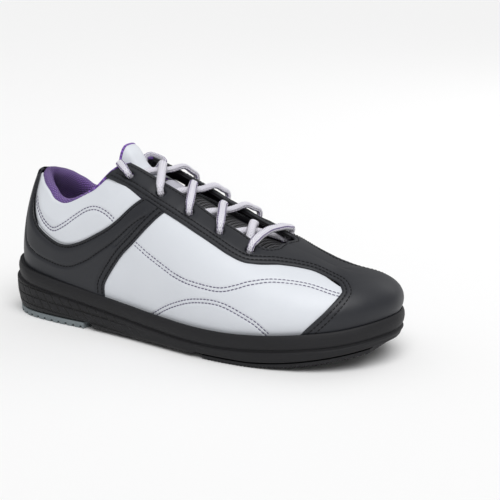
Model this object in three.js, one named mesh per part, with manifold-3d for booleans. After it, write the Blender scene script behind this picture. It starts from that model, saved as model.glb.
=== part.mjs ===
import * as THREE from 'three';
import Module from 'manifold-3d';

const wasm = await Module();
wasm.setup();

// Right bowling shoe. Millimetres, +X toe, -Y outer (lateral) side, +Z up.
// Driving dimensions
const soleLength = 285;
const soleWidth = 104;
const instepHeight = 121;
const rimHeight = 38;
const toeSpring = 12.4;
const eyeletRadius = 3;
const laceRadius = 2.2;
const gap = 0.3;

// Layer faces, measured outward from the last surface
const overlay = { outer: 1.4, inner: 0.2 };
const panel = { outer: -0.2, inner: -1.5 };
const puffLayer = { outer: -0.6, inner: -1.7 };
const vampLiningLayer = { outer: -2.4, inner: -3.3 };
const counterLayer = { outer: -1.8, inner: -3.1 };
const backstayLayer = { outer: 2.8, inner: 1.7 };
const tongueLayers = {
  trim: { outer: -6.85, inner: -7.3 },
  mesh: { outer: -8.0, inner: -8.8 },
  foam: { outer: -9.1, inner: -12.2 },
  lining: { outer: -12.5, inner: -13.2 },
};

// Stations run evenly from the heel (0) to the toe (13) on both sides
const stationCount = 13;
const along = [
  0, 0.016, 0.075, 0.165, 0.27, 0.375, 0.48,
  0.58, 0.675, 0.765, 0.848, 0.92, 0.972, 1,
];
const lateralHalf = [
  0, 0.165, 0.288, 0.337, 0.356, 0.388, 0.433,
  0.476, 0.493, 0.473, 0.417, 0.313, 0.16, -0.058,
];
const medialHalf = [
  0, 0.165, 0.285, 0.325, 0.315, 0.315, 0.345,
  0.395, 0.45, 0.48, 0.475, 0.42, 0.31, 0.06,
];
const rimShare = [
  1, 0.96, 0.895, 0.816, 0.724, 0.645, 0.579,
  0.539, 0.539, 0.579, 0.645, 0.711, 0.789, 0.842,
];
const rimDepth = [18, 18, 17.5, 16.5, 15, 13.5, 12.5, 12, 12, 12, 12, 12.5, 13, 13];
const lastInset = [7, 7, 6, 5, 4, 4, 4, 4, 4, 4, 4, 4, 4, 4];
const spineShare = [
  0.14, 0.151, 0.175, 0.218, 0.284, 0.372, 0.47,
  0.565, 0.66, 0.747, 0.811, 0.849, 0.87, 0.877,
];
const spineHeight = [
  0.988, 0.992, 0.996, 1, 0.989, 0.938, 0.839,
  0.727, 0.628, 0.545, 0.5, 0.471, 0.463, 0.459,
];
const spineSlope = [
  -0.05, -0.065, -0.1, -0.165, -0.335, -0.5, -0.48,
  -0.36, -0.24, -0.16, -0.13, -0.11, -0.1, -0.1,
];
const wallBulge = [0.5, 1, 2.5, 4, 4, 4, 5, 6, 7, 8, 8, 8, 8, 8];
const wallRise = [0.4, 0.4, 0.4, 0.42, 0.48, 0.58, 0.64, 0.66, 0.66, 0.64, 0.62, 0.62, 0.62, 0.62];
const crownReach = [
  0.55, 0.55, 0.6, 0.66, 0.72, 0.76, 0.78,
  0.78, 0.74, 0.66, 0.58, 0.55, 0.55, 0.55,
];

// Rim height for which the floor depths above are given
const usualRim = 38;

const frameShift = new THREE.Vector3(-soleLength / 2, soleWidth * 0.0065, 0);

// Value at place u around the shoe: 0 heel, 0 to 1 lateral side, 1 toe, 1 to 2 medial side
function around(u, lateral, medial = lateral) {
  const k = u * stationCount;
  const i = Math.floor(k);
  const f = k - i;
  const loop = 2 * stationCount;
  const pick = (j) => {
    const m = ((j % loop) + loop) % loop;
    return m <= stationCount ? lateral[m] : medial[loop - m];
  };
  const [a, b, c, d] = [pick(i - 1), pick(i), pick(i + 1), pick(i + 2)];
  return 0.5 * (2 * b + (c - a) * f + (2 * a - 5 * b + 4 * c - d) * f * f
    + (3 * b - a - 3 * c + d) * f * f * f);
}

function edgePoint(u) {
  const side = lateralHalf.map((v) => -v * soleWidth);
  const inner = medialHalf.map((v) => v * soleWidth);
  return new THREE.Vector2(around(u, along) * soleLength, around(u, side, inner));
}

function edgeNormal(u) {
  const step = 1e-4;
  const d = edgePoint(u + step).sub(edgePoint(u - step)).normalize();
  return new THREE.Vector2(d.y, -d.x);
}

// Point of the sole outline moved outward by `offset` and set at height z
function outlinePoint(u, offset, z) {
  const p = edgePoint(u).addScaledVector(edgeNormal(u), offset);
  return new THREE.Vector3(p.x, p.y, z);
}

const rimTop = (u) => around(u, rimShare) * rimHeight;
const floorTop = (u) => rimTop(u) - around(u, rimDepth) * (rimHeight / usualRim);

// Height of the ground contact line, rising from the ball of the foot to the toe
function groundRise(u) {
  const x = around(u, along);
  const start = 0.72;
  return x > start ? toeSpring * ((x - start) / (1 - start)) ** 1.6 : 0;
}

// Last surface: a cubic curve from the sole edge (t = 0) up to the centre line (t = 1)
function last(u, t) {
  const n = edgeNormal(u);
  const b = edgePoint(u).addScaledVector(n, -around(u, lastInset));
  const z0 = rimTop(u);
  const x3 = around(u, spineShare) * soleLength;
  const z3 = around(u, spineHeight) * instepHeight;
  const bulge = around(u, wallBulge);
  const z1 = z0 + around(u, wallRise) * (z3 - z0);
  const reach = around(u, crownReach);
  const hx = (b.x - x3) * reach;
  const hy = b.y * reach;
  const q = 1 - t;
  const [w0, w1, w2, w3] = [q ** 3, 3 * q * q * t, 3 * q * t * t, t ** 3];
  return new THREE.Vector3(
    w0 * b.x + w1 * (b.x + n.x * bulge) + w2 * (x3 + hx) + w3 * x3,
    w0 * b.y + w1 * (b.y + n.y * bulge) + w2 * hy,
    w0 * z0 + w1 * z1 + w2 * (z3 + around(u, spineSlope) * hx) + w3 * z3,
  );
}

function lastNormal(u, t) {
  const step = 0.002;
  const s = Math.min(Math.max(t, step), 1 - step);
  const du = last(u + step, s).sub(last(u - step, s));
  const dt = last(u, s + step).sub(last(u, s - step));
  const n = du.cross(dt).normalize();
  if (t > 1 - step) n.setY(0).normalize();
  return n;
}

const at = (u, t, d) => last(u, t).addScaledVector(lastNormal(u, t), d);

// Builds one closed mesh from indexed points, turned so its faces point outward
function closedGeometry(points, triangles) {
  let volume = 0;
  for (const [a, b, c] of triangles) {
    volume += points[a].dot(points[b].clone().cross(points[c]));
  }
  const geometry = new THREE.BufferGeometry();
  const places = points.flatMap((p) => [p.x, p.y, p.z]);
  geometry.setAttribute('position', new THREE.Float32BufferAttribute(places, 3));
  geometry.setIndex(triangles.flatMap(([a, b, c]) => (volume > 0 ? [a, b, c] : [a, c, b])));
  return geometry;
}

// Thick sheet from grids of { base, outer, inner } points, joined where the base points meet
function sheet(grids) {
  const keys = new Map();
  const outer = [];
  const inner = [];
  const index = (cell) => {
    const key = (cell.base ?? cell.outer).toArray().map((v) => Math.round(v * 100)).join();
    if (!keys.has(key)) {
      keys.set(key, outer.length);
      outer.push(cell.outer);
      inner.push(cell.inner);
    }
    return keys.get(key);
  };
  const faces = [];
  for (const { rows, flip } of grids) {
    for (let i = 0; i + 1 < rows.length; i += 1) {
      for (let j = 0; j + 1 < rows[i].length; j += 1) {
        const [a, b] = [index(rows[i][j]), index(rows[i + 1][j])];
        const [c, d] = [index(rows[i + 1][j + 1]), index(rows[i][j + 1])];
        for (const f of [[a, b, c], [a, c, d]]) {
          if (new Set(f).size === 3) faces.push(flip ? f.reverse() : f);
        }
      }
    }
  }
  const used = new Set(faces.flatMap(([a, b, c]) => [`${a},${b}`, `${b},${c}`, `${c},${a}`]));
  const count = outer.length;
  const triangles = faces.flatMap(([a, b, c]) => [[a, b, c], [a + count, c + count, b + count]]);
  for (const [a, b, c] of faces) {
    for (const [p, q] of [[a, b], [b, c], [c, a]]) {
      if (!used.has(`${q},${p}`)) {
        triangles.push([q, p, p + count], [q, p + count, q + count]);
      }
    }
  }
  return closedGeometry([...outer, ...inner], triangles);
}

// Evenly spaced points on a smooth plane curve through hand-set points
function smooth(points, count) {
  const curve = new THREE.SplineCurve(points.map(([u, t]) => new THREE.Vector2(u, t)));
  return Array.from({ length: count + 1 }, (_, i) => curve.getPoint(i / count));
}

// Points on straight runs between hand-set points, the same count on each run
function straight(points, perRun) {
  const out = [];
  for (let i = 0; i + 1 < points.length; i += 1) {
    for (let j = 0; j < perRun; j += 1) {
      const f = j / perRun;
      out.push(new THREE.Vector2(
        points[i][0] + (points[i + 1][0] - points[i][0]) * f,
        points[i][1] + (points[i + 1][1] - points[i][1]) * f,
      ));
    }
  }
  out.push(new THREE.Vector2(...points[points.length - 1]));
  return out;
}

const mirror = (u) => 2 - u;

// Grid ruled between two lines of (u, t) points and placed at a layer
function ruled(first, second, columns, layer, side = (u) => u) {
  const rows = first.map((p, i) => Array.from({ length: columns + 1 }, (_, j) => {
    const m = p.clone().lerp(second[i], j / columns);
    const u = side(m.x);
    return { base: last(u, m.y), outer: at(u, m.y, layer.outer), inner: at(u, m.y, layer.inner) };
  }));
  return { rows, flip: side !== mirror };
}

// Solid swept through rings of sole-outline points, closed across at both ends
function ringSolid(rings, count = 40) {
  const places = Array.from({ length: count }, (_, i) => (2 * i) / count);
  const points = rings.flatMap((ring) => places.map((u) => outlinePoint(u, ring.offset, ring.z(u))));
  const triangles = [];
  for (let r = 0; r + 1 < rings.length; r += 1) {
    for (let i = 0; i < count; i += 1) {
      const next = (i + 1) % count;
      const [a, b] = [r * count + i, r * count + next];
      triangles.push([a, b, b + count], [a, b + count, a + count]);
    }
  }
  const half = count / 2;
  for (const [start, turn] of [[0, true], [(rings.length - 1) * count, false]]) {
    for (let i = 0; i < half; i += 1) {
      const [a, b] = [start + i, start + i + 1];
      const [c, d] = [start + ((count - i - 1) % count), start + ((count - i) % count)];
      for (const f of [[a, b, c], [a, c, d]]) {
        if (new Set(f).size === 3) triangles.push(turn ? f.reverse() : f);
      }
    }
  }
  return closedGeometry(points, triangles);
}

// Flat plate that follows the sole outline between two places, lateral edge to medial edge
function outlinePlate(from, to, offset, bottom, top, rows = 8, columns = 2) {
  const grid = Array.from({ length: rows + 1 }, (_, i) => {
    const u = from + ((to - from) * i) / rows;
    const [a, b] = [outlinePoint(u, offset, 0), outlinePoint(mirror(u), offset, 0)];
    return Array.from({ length: columns + 1 }, (_, j) => {
      const p = a.clone().lerp(b, j / columns);
      return {
        outer: p.clone().setZ(groundRise(u) + top),
        inner: p.clone().setZ(groundRise(u) + bottom),
      };
    });
  });
  return sheet([{ rows: grid, flip: false }]);
}

// Solid through a row of closed cross-sections given as (depth below the edge, offset) pairs
function collarLoft(section, from, to, count) {
  const outline = (u) => section(u).map(([h, d]) => {
    const edge = collarHeight(u);
    const unit = last(u, edge).distanceTo(last(u, edge - 0.1)) / 0.1;
    return at(u, Math.max(edge - h / unit, lowerEdge), d);
  });
  const places = Array.from({ length: count + 1 }, (_, i) => from + ((to - from) * i) / count);
  const loops = places.map((u) => outline(u));
  const size = loops[0].length;
  const triangles = [];
  for (let i = 0; i < count; i += 1) {
    for (let j = 0; j < size; j += 1) {
      const [a, b] = [i * size + j, i * size + ((j + 1) % size)];
      triangles.push([a, b, b + size], [a, b + size, a + size]);
    }
  }
  const flat = section(from).map(([h, d]) => new THREE.Vector2(h, d));
  const turned = THREE.ShapeUtils.isClockWise(flat);
  for (const [a, b, c] of THREE.ShapeUtils.triangulateShape(flat, [])) {
    const end = count * size;
    const start = turned ? [a, b, c] : [a, c, b];
    const stop = turned ? [a + end, c + end, b + end] : [a + end, b + end, c + end];
    triangles.push(start, stop);
  }
  return closedGeometry(loops.flat(), triangles);
}

function toManifold(geometry) {
  const mesh = new wasm.Mesh({
    numProp: 3,
    vertProperties: geometry.attributes.position.array,
    triVerts: Uint32Array.from(geometry.index.array),
  });
  return new wasm.Manifold(mesh);
}

function toGeometry(solid) {
  const mesh = solid.getMesh();
  const geometry = new THREE.BufferGeometry();
  geometry.setAttribute('position', new THREE.BufferAttribute(mesh.vertProperties.slice(), 3));
  geometry.setIndex(Array.from(mesh.triVerts));
  return welded(geometry, 0.02);
}

// Panel lines on the last, given as (u, t); the medial side mirrors them
const lowerEdge = -0.035;
const collarLine = [[0, 0.585], [0.064, 0.575], [0.13, 0.55], [0.184, 0.495], [0.216, 0.445],
  [0.254, 0.44], [0.302, 0.522], [0.331, 0.627], [0.352, 0.74], [0.37, 0.8]];
const heelQuarterLow = [[0.075, 0.5], [0.11, 0.4], [0.13, 0.3], [0.18, 0.235], [0.224, 0.19],
  [0.262, 0.18], [0.299, 0.21], [0.345, 0.29], [0.38, 0.37], [0.43, 0.57]];
const heelQuarterTop = [[0.075, 0.562], [0.11, 0.55], [0.13, 0.54], [0.184, 0.486], [0.216, 0.436],
  [0.254, 0.431], [0.302, 0.513], [0.32, 0.57], [0.331, 0.618], [0.345, 0.645]];
const heelOverlayLow = [[0.012, lowerEdge], [0.1, lowerEdge], [0.18, lowerEdge], [0.26, lowerEdge],
  [0.339, lowerEdge], [0.35, 0.06], [0.386, 0.215], [0.42, 0.307], [0.445, 0.44], [0.465, 0.57]];
const heelOverlayTop = [[0.012, 0.572], [0.07, 0.562], [0.105, 0.535], [0.127, 0.44], [0.148, 0.33],
  [0.2, 0.245], [0.262, 0.208], [0.33, 0.295], [0.376, 0.4], [0.418, 0.578]];
const frontQuarterLow = [[0.325, lowerEdge], [0.4, lowerEdge], [0.475, lowerEdge], [0.55, lowerEdge],
  [0.62, lowerEdge], [0.68, lowerEdge], [0.73, lowerEdge], [0.777, lowerEdge]];
const frontQuarterTop = [[0.445, 0.575], [0.49, 0.588], [0.54, 0.59], [0.6, 0.573],
  [0.655, 0.592], [0.72, 0.735], [0.8, 0.765], [0.872, 0.56]];
const overlayOuter = [[0.331, 0.63], [0.418, 0.593], [0.468, 0.585], [0.517, 0.59], [0.566, 0.583],
  [0.603, 0.565], [0.633, 0.562], [0.652, 0.585], [0.675, 0.64], [0.698, 0.695], [0.74, 0.748],
  [0.791, 0.76], [0.851, 0.67], [0.864, 0.542], [0.855, 0.445], [0.813, 0.195], [0.768, lowerEdge]];
const overlayInner = [[0.371, 0.815], [0.426, 0.815], [0.47, 0.828], [0.512, 0.838], [0.553, 0.826],
  [0.595, 0.834], [0.633, 0.815], [0.656, 0.8], [0.673, 0.87], [0.68, 1], [0.74, 1],
  [0.83, 1], [1, 1], [1, 0.78], [1, 0.55], [1, 0.25], [1, lowerEdge]];
const puffOuter = [[0.725, 0.775], [0.795, 0.795], [0.866, 0.7], [0.885, 0.555], [0.873, 0.44],
  [0.833, 0.195], [0.79, lowerEdge]];
const puffInner = [[0.74, 1], [0.83, 1], [1, 1], [1, 0.78], [1, 0.55], [1, 0.25], [1, lowerEdge]];
const backingLow = [[0.356, 0.665], [0.43, 0.612], [0.468, 0.602], [0.517, 0.606], [0.566, 0.604],
  [0.603, 0.59], [0.633, 0.592], [0.66, 0.64]];
const backingTop = [[0.373, 0.81], [0.426, 0.81], [0.47, 0.822], [0.512, 0.832], [0.553, 0.82],
  [0.595, 0.828], [0.633, 0.81], [0.655, 0.795]];
const vampLiningLow = [[0.325, lowerEdge], [0.42, lowerEdge], [0.5, lowerEdge], [0.56, lowerEdge],
  [0.61, lowerEdge], [0.65, lowerEdge], [0.7, lowerEdge], [0.78, lowerEdge], [0.9, lowerEdge],
  [1, lowerEdge]];
const vampLiningTop = [[0.347, 0.6], [0.44, 0.585], [0.52, 0.59], [0.58, 0.58], [0.63, 0.59],
  [0.67, 0.66], [0.69, 1], [0.8, 1], [1, 1], [1, 0.35]];
const eyelets = [[0.379, 0.703], [0.447, 0.71], [0.509, 0.712], [0.574, 0.718], [0.639, 0.703]];

const collarCurve = new THREE.SplineCurve(collarLine.map(([u, t]) => new THREE.Vector2(u, t)));
const collarPoints = collarCurve.getPoints(80);

// Height of the collar edge at place u, read from the collar line on either side
function collarHeight(u) {
  const place = Math.abs(u);
  const i = collarPoints.findIndex((p) => p.x >= place);
  if (i <= 0) return collarPoints[0].y;
  const [a, b] = [collarPoints[i - 1], collarPoints[i]];
  return a.y + ((b.y - a.y) * (place - a.x)) / (b.x - a.x);
}

function pairSheet(low, top, rows, columns, layer, side) {
  return sheet([ruled(smooth(low, rows), smooth(top, rows), columns, layer, side)]);
}

function bothSides(low, top, perRun, columns, layer) {
  const [a, b] = [straight(low, perRun), straight(top, perRun)];
  return sheet([ruled(a, b, columns, layer), ruled(a, b, columns, layer, mirror)]);
}

function drillEyelets(geometry) {
  let solid = toManifold(geometry);
  for (const [u, t] of eyelets) {
    for (const side of [(v) => v, mirror]) {
      const drill = new THREE.CylinderGeometry(eyeletRadius, eyeletRadius, 16, 10, 1);
      const turn = new THREE.Quaternion();
      turn.setFromUnitVectors(new THREE.Vector3(0, 1, 0), lastNormal(side(u), t));
      drill.applyQuaternion(turn);
      const p = last(side(u), t);
      drill.translate(p.x, p.y, p.z);
      drill.deleteAttribute('normal');
      drill.deleteAttribute('uv');
      solid = solid.subtract(toManifold(welded(drill)));
    }
  }
  return toGeometry(solid);
}

// Joins points that lie at the same place so the surface closes
function welded(geometry, step = 0.001) {
  const source = geometry.attributes.position;
  const keys = new Map();
  const points = [];
  const order = [];
  for (let i = 0; i < source.count; i += 1) {
    const p = new THREE.Vector3().fromBufferAttribute(source, i);
    const key = p.toArray().map((v) => Math.round(v / step)).join();
    if (!keys.has(key)) {
      keys.set(key, points.length);
      points.push(p);
    }
    order.push(keys.get(key));
  }
  const index = geometry.index ? Array.from(geometry.index.array) : [...order.keys()];
  const triangles = [];
  for (let i = 0; i < index.length; i += 3) {
    const f = [order[index[i]], order[index[i + 1]], order[index[i + 2]]];
    if (new Set(f).size === 3) triangles.push(f);
  }
  return closedGeometry(points, triangles);
}

// Tongue: rows from its free top end to its sewn end, edge to edge across the foot
const tongueTopPlace = 0.338;
const tongueEndPlace = 0.7;
const tongueEdge = 0.62;
const tongueLift = 10.5;
const sewnLift = 4;

function tongueDepth(u, t) {
  const rise = THREE.MathUtils.smoothstep(0.392 - u, 0, 0.054);
  const middle = THREE.MathUtils.smoothstep(t, 0.8 - 0.08 * rise, 1);
  const sewn = THREE.MathUtils.smoothstep(u, 0.655, 0.69);
  return tongueLift * rise * middle + sewnLift * sewn;
}

function tongueSheet(layer, from, to, edgeAt, rows, columns) {
  const grid = Array.from({ length: rows + 1 }, (_, i) => {
    const share = i / rows;
    return Array.from({ length: 2 * columns + 1 }, (_, j) => {
      const across = j / columns - 1;
      const t = 1 - Math.abs(across) * (1 - edgeAt);
      const end = to - 0.06 * ((1 - t) / 0.38) * (to === tongueEndPlace ? 1 : 0);
      const place = from + (end - from) * share;
      const u = across > 0 ? mirror(place) : place;
      const lift = tongueDepth(place, t);
      return { outer: at(u, t, layer.outer + lift), inner: at(u, t, layer.inner + lift) };
    });
  });
  return sheet([{ rows: grid, flip: true }]);
}

// Point over the instep: across runs from one side (below 1) over the centre to the other
function instepPoint(u, across, d, side) {
  const t = across <= 1 ? across : 2 - across;
  const onStart = across <= 1;
  const lateral = side > 0 ? onStart : !onStart;
  return at(lateral ? u : mirror(u), t, d);
}

// One lace run between two eyelets on opposite sides, as (share, height) steps
const laceRest = overlay.outer + laceRadius + 3 * gap;
const holeRise = 1.7;
function laceRun(from, to, startOver, endOver, middle, side) {
  const [a, b] = [startOver ? 1 : -1, endOver ? 1 : -1];
  const steps = [
    [0, 0], [0, a * overlay.outer], [0.012, a * (overlay.outer + holeRise)], [0.05, a * (laceRest + 0.2)],
    [0.12, a * laceRest], [0.225, a * laceRest], [0.36, (a * laceRest + middle * 2) / 3],
    [0.5, middle], [0.64, (b * laceRest + middle * 2) / 3], [0.775, b * laceRest],
    [0.88, b * laceRest], [0.95, b * (laceRest + 0.2)], [0.988, b * (overlay.outer + holeRise)],
    [1, b * overlay.outer],
  ];
  return steps.map(([w, d]) => {
    const u = from[0] + (to[0] - from[0]) * w;
    const across = from[1] + (2 - to[1] - from[1]) * w;
    return instepPoint(u, across, d, side);
  });
}

function halfLace(side, lifts) {
  const order = [...eyelets].reverse();
  const points = [];
  let current = side;
  for (let i = 0; i + 1 < order.length; i += 1) {
    points.push(...laceRun(order[i], order[i + 1], i > 0, false, lifts[i], current));
    current = -current;
  }
  const [u, t] = order[order.length - 1];
  for (const d of [0, overlay.outer, laceRadius]) points.push(instepPoint(u, t, d, current));
  return points;
}

const overStrand = 1;
const underStrand = -3.9;
const lowest = eyelets[eyelets.length - 1];

function laceCurve() {
  const bar = laceRun(lowest, lowest, true, true, laceRest - 1, 1);
  const first = halfLace(1, [overStrand, underStrand, overStrand, underStrand]);
  const second = halfLace(-1, [underStrand, overStrand, underStrand, overStrand]);
  const points = [...first.reverse(), ...bar.slice(1, -1), ...second];
  return new THREE.CatmullRomCurve3(points, false, 'centripetal');
}

// Loose end: out of the top eyelet, over the eyestay edge and down inside the shoe
const tailRoute = [
  [0.379, 0.703, 2.7], [0.379, 0.703, 3.1], [0.3776, 0.7065, 4.5], [0.374, 0.715, 5.2],
  [0.3675, 0.7285, 4.8], [0.3616, 0.741, 4.3], [0.354, 0.757, 3.2], [0.3495, 0.767, 0], [0.352, 0.757, -3.6],
  [0.351, 0.735, -4.8], [0.35, 0.7, -5.2], [0.35, 0.64, -5.4], [0.35, 0.57, -5.9], [0.352, 0.48, -6.1],
  [0.355, 0.38, -6.2], [0.36, 0.28, -6.6], [0.37, 0.2, -8], [0.385, 0.15, -10.5], [0.41, 0.12, -12.5],
  [0.44, 0.11, -13.5], [0.47, 0.11, -14], [0.495, 0.11, -14.5], [0.515, 0.11, -15], [0.535, 0.11, -15.5],
];
const tailCut = 22;

function tailPoints(side, from, to) {
  const place = side > 0 ? (u) => u : mirror;
  return tailRoute.slice(from, to).map(([u, t, d]) => at(place(u), t, d));
}

function tube(points, radius, steps, sides) {
  const shape = new THREE.Shape();
  for (let i = 0; i < sides; i += 1) {
    const angle = ((i + 0.5) * 2 * Math.PI) / sides;
    const [x, y] = [radius * Math.cos(angle), radius * Math.sin(angle)];
    if (i === 0) shape.moveTo(x, y);
    else shape.lineTo(x, y);
  }
  const isCurve = points instanceof THREE.Curve;
  const path = isCurve ? points : new THREE.CatmullRomCurve3(points, false, 'centripetal');
  const options = { steps, bevelEnabled: false, extrudePath: path };
  return welded(new THREE.ExtrudeGeometry(shape, options));
}

// Sole heights above the ground line
const padStack = { web: 0.7, heel: 4, ball: 2.6 };
const heelSeat = padStack.heel + 2 * padStack.web + 3 * gap;
const ballSeat = padStack.ball + 2 * padStack.web + 3 * gap;
const archClearance = 1.8;
const heelPadEnd = 0.3;
const ballPadStart = 0.568;
const ballPadEnd = 0.93;

function cupBottom(u) {
  const place = u > 1 ? mirror(u) : u;
  if (place < heelPadEnd + 0.02) return heelSeat;
  if (place < ballPadStart - 0.02) return archClearance;
  return ballSeat + groundRise(u);
}

// A lip of the cup hangs down around each pad's backing and stops short of the pad
function lipBottom(u) {
  const bottom = cupBottom(u);
  return bottom > archClearance ? bottom - 2 * padStack.web - gap : bottom;
}

const outsoleRings = [
  { offset: -6.2, z: cupBottom },
  { offset: -5, z: cupBottom },
  { offset: -4.8, z: lipBottom },
  { offset: -2.4, z: (u) => lipBottom(u) + 0.3 },
  { offset: -1.1, z: (u) => cupBottom(u) + 2.4 },
  { offset: -0.7, z: (u) => rimTop(u) - 12 },
  { offset: -1.6, z: (u) => rimTop(u) - 10.5 },
  { offset: -0.4, z: (u) => rimTop(u) - 8.6 },
  { offset: 0, z: (u) => rimTop(u) - 5 },
  { offset: -0.5, z: (u) => rimTop(u) - 1.4 },
  { offset: -1.2, z: rimTop },
  { offset: -2.1, z: (u) => rimTop(u) - 0.5 },
  { offset: -2.3, z: (u) => rimTop(u) - 4 },
  { offset: -2.5, z: (u) => floorTop(u) + 0.5 },
  { offset: -3.5, z: floorTop },
];

const boardTop = (u) => floorTop(u) + gap + 2.2;
const boardRings = [
  { offset: -4.5, z: (u) => floorTop(u) + gap },
  { offset: -3.2, z: (u) => floorTop(u) + 1.2 },
  { offset: -3.4, z: boardTop },
];
const bedFoot = (u) => boardTop(u) + gap;
const bedEdge = (u) => rimTop(u) - 7.2;
const footbedFoamRings = [
  { offset: -4.2, z: bedFoot },
  { offset: -3.2, z: (u) => bedFoot(u) + 1 },
  { offset: -3.4, z: bedEdge },
  { offset: -6, z: bedEdge },
  { offset: -11, z: (u) => bedFoot(u) + 3.5 },
];
const footbedCoverRings = [
  { offset: -11, z: (u) => bedFoot(u) + 3.5 + 2 * gap },
  { offset: -6, z: (u) => bedEdge(u) + 2 * gap },
  { offset: -3.6, z: (u) => bedEdge(u) + 2 * gap },
  { offset: -3.8, z: (u) => bedEdge(u) + 2 * gap + 0.8 },
  { offset: -6.3, z: (u) => bedEdge(u) + 2 * gap + 0.9 },
  { offset: -11.4, z: (u) => bedFoot(u) + 5 },
];

// Collar cross-sections: (distance below the edge, offset from the last)
const collarSkin = () => [
  [8, -1.7], [0, -1.7], [-1.6, -2.5], [-2.5, -4.7], [-1.8, -7], [1.4, -8.7], [8, -8.6], [17, -6.6],
  [30, -4.4], [120, -4.2], [120, -3.5], [30, -3.7], [17, -5.9], [8, -7.9], [1.8, -8], [-1.1, -6.4],
  [-1.7, -4.7], [-0.9, -3], [0.4, -2.4], [8, -2.4],
];
const collarCore = () => [
  [15, -2.7], [0.8, -2.7], [-0.4, -3.3], [-1.3, -4.8], [-0.7, -6.2], [2, -7.6], [8, -7.5], [15, -5.9],
];
const collarEnd = 0.328;

const colours = {
  white: [0xd9dce0, 0.5], black: [0x2e2f33, 0.55], sole: [0x232326, 0.8], purple: [0x6b3fa0, 0.85],
  grey: [0x7d8588, 0.85], board: [0xb9a98a, 0.9], foam: [0xdcd6c4, 0.95], lace: [0xe6e3ee, 0.85],
  mesh: [0x26262a, 0.9], plastic: [0xf0f0f2, 0.35], web: [0x1b1b1d, 0.95],
};

const shoe = new THREE.Group();
shoe.name = 'bowling_shoe';

function add(name, geometry, colour) {
  geometry.deleteAttribute('uv');
  geometry.translate(frameShift.x, frameShift.y, frameShift.z);
  geometry.computeVertexNormals();
  const [color, roughness] = colours[colour];
  const material = new THREE.MeshStandardMaterial({ color, roughness, metalness: 0 });
  const mesh = new THREE.Mesh(geometry, material);
  mesh.name = name;
  shoe.add(mesh);
}

// Sole unit, from the ground up
const heelWeb = padStack.heel + gap;
const ballWeb = padStack.ball + gap;
const webStep = padStack.web + gap;
add('heel_pad', outlinePlate(0, heelPadEnd, -2, 0, padStack.heel), 'grey');
add('heel_pad_loop', outlinePlate(0, heelPadEnd - 0.01, -5.4, heelWeb, heelWeb + padStack.web), 'web');
add('heel_hook_panel',
  outlinePlate(0, heelPadEnd - 0.01, -5.4, heelWeb + webStep, heelWeb + webStep + padStack.web), 'web');
add('sole_pad', outlinePlate(ballPadStart, ballPadEnd, -3, 0, padStack.ball, 12), 'sole');
add('sole_pad_loop',
  outlinePlate(ballPadStart + 0.01, ballPadEnd - 0.01, -5.4, ballWeb, ballWeb + padStack.web, 12), 'web');
add('sole_hook_panel', outlinePlate(ballPadStart + 0.01, ballPadEnd - 0.01, -5.4, ballWeb + webStep,
  ballWeb + webStep + padStack.web, 12), 'web');
add('outsole_cup', ringSolid(outsoleRings, 52), 'sole');
add('insole_board', ringSolid(boardRings), 'board');
add('footbed_foam', ringSolid(footbedFoamRings), 'foam');
add('footbed_cover', ringSolid(footbedCoverRings), 'purple');

// Upper panels on each side
for (const [name, side] of [['lateral', (u) => u], ['medial', mirror]]) {
  add(`${name}_front_quarter`, pairSheet(frontQuarterLow, frontQuarterTop, 16, 5, panel, side), 'white');
  add(`${name}_heel_quarter`, pairSheet(heelQuarterLow, heelQuarterTop, 16, 4, panel, side), 'white');
  add(`${name}_heel_overlay`, pairSheet(heelOverlayLow, heelOverlayTop, 16, 4, overlay, side), 'black');
}
const backing = [straight(backingLow, 3), straight(backingTop, 3)];
for (const [name, side] of [['lateral', (u) => u], ['medial', mirror]]) {
  const plain = sheet([ruled(backing[0], backing[1], 3, panel, side)]);
  add(`${name}_eyestay_backing`, drillEyelets(plain), 'mesh');
}
add('vamp_overlay', drillEyelets(bothSides(overlayOuter, overlayInner, 2, 5, overlay)), 'black');
add('toe_puff', bothSides(puffOuter, puffInner, 2, 4, puffLayer), 'board');
add('vamp_lining', bothSides(vampLiningLow, vampLiningTop, 2, 5, vampLiningLayer), 'mesh');
const counterTop = [[-0.315, 0.15], [-0.26, 0.19], [-0.18, 0.25], [-0.09, 0.34], [0, 0.36],
  [0.09, 0.34], [0.18, 0.25], [0.26, 0.19], [0.315, 0.15]];
const counterLow = counterTop.map(([u]) => [u, lowerEdge]);
add('heel_counter', pairSheet(counterLow, counterTop, 16, 3, counterLayer), 'board');
const backstayLow = [[-0.03, lowerEdge], [0, lowerEdge], [0.03, lowerEdge]];
const backstayTop = [[-0.045, 0.585], [0, 0.598], [0.045, 0.585]];
add('backstay', pairSheet(backstayLow, backstayTop, 2, 8, backstayLayer), 'black');
add('collar_foam', collarLoft(collarCore, -collarEnd, collarEnd, 24), 'foam');
add('collar_lining', collarLoft(collarSkin, -collarEnd, collarEnd, 24), 'purple');

// Tongue
const { trim, mesh: meshLayer, foam: foamLayer, lining } = tongueLayers;
add('tongue_mesh', tongueSheet(meshLayer, tongueTopPlace, tongueEndPlace, tongueEdge, 17, 4), 'mesh');
add('tongue_foam', tongueSheet(foamLayer, tongueTopPlace, tongueEndPlace, tongueEdge, 17, 4), 'foam');
add('tongue_lining', tongueSheet(lining, tongueTopPlace, tongueEndPlace, tongueEdge, 17, 4), 'purple');
add('tongue_patch', tongueSheet(trim, tongueTopPlace, 0.423, 0.81, 8, 2), 'white');
add('lace_keeper_upper', tongueSheet(trim, 0.437, 0.457, 0.88, 2, 3), 'white');
add('lace_keeper_lower', tongueSheet(trim, 0.527, 0.547, 0.9, 2, 3), 'white');

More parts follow.
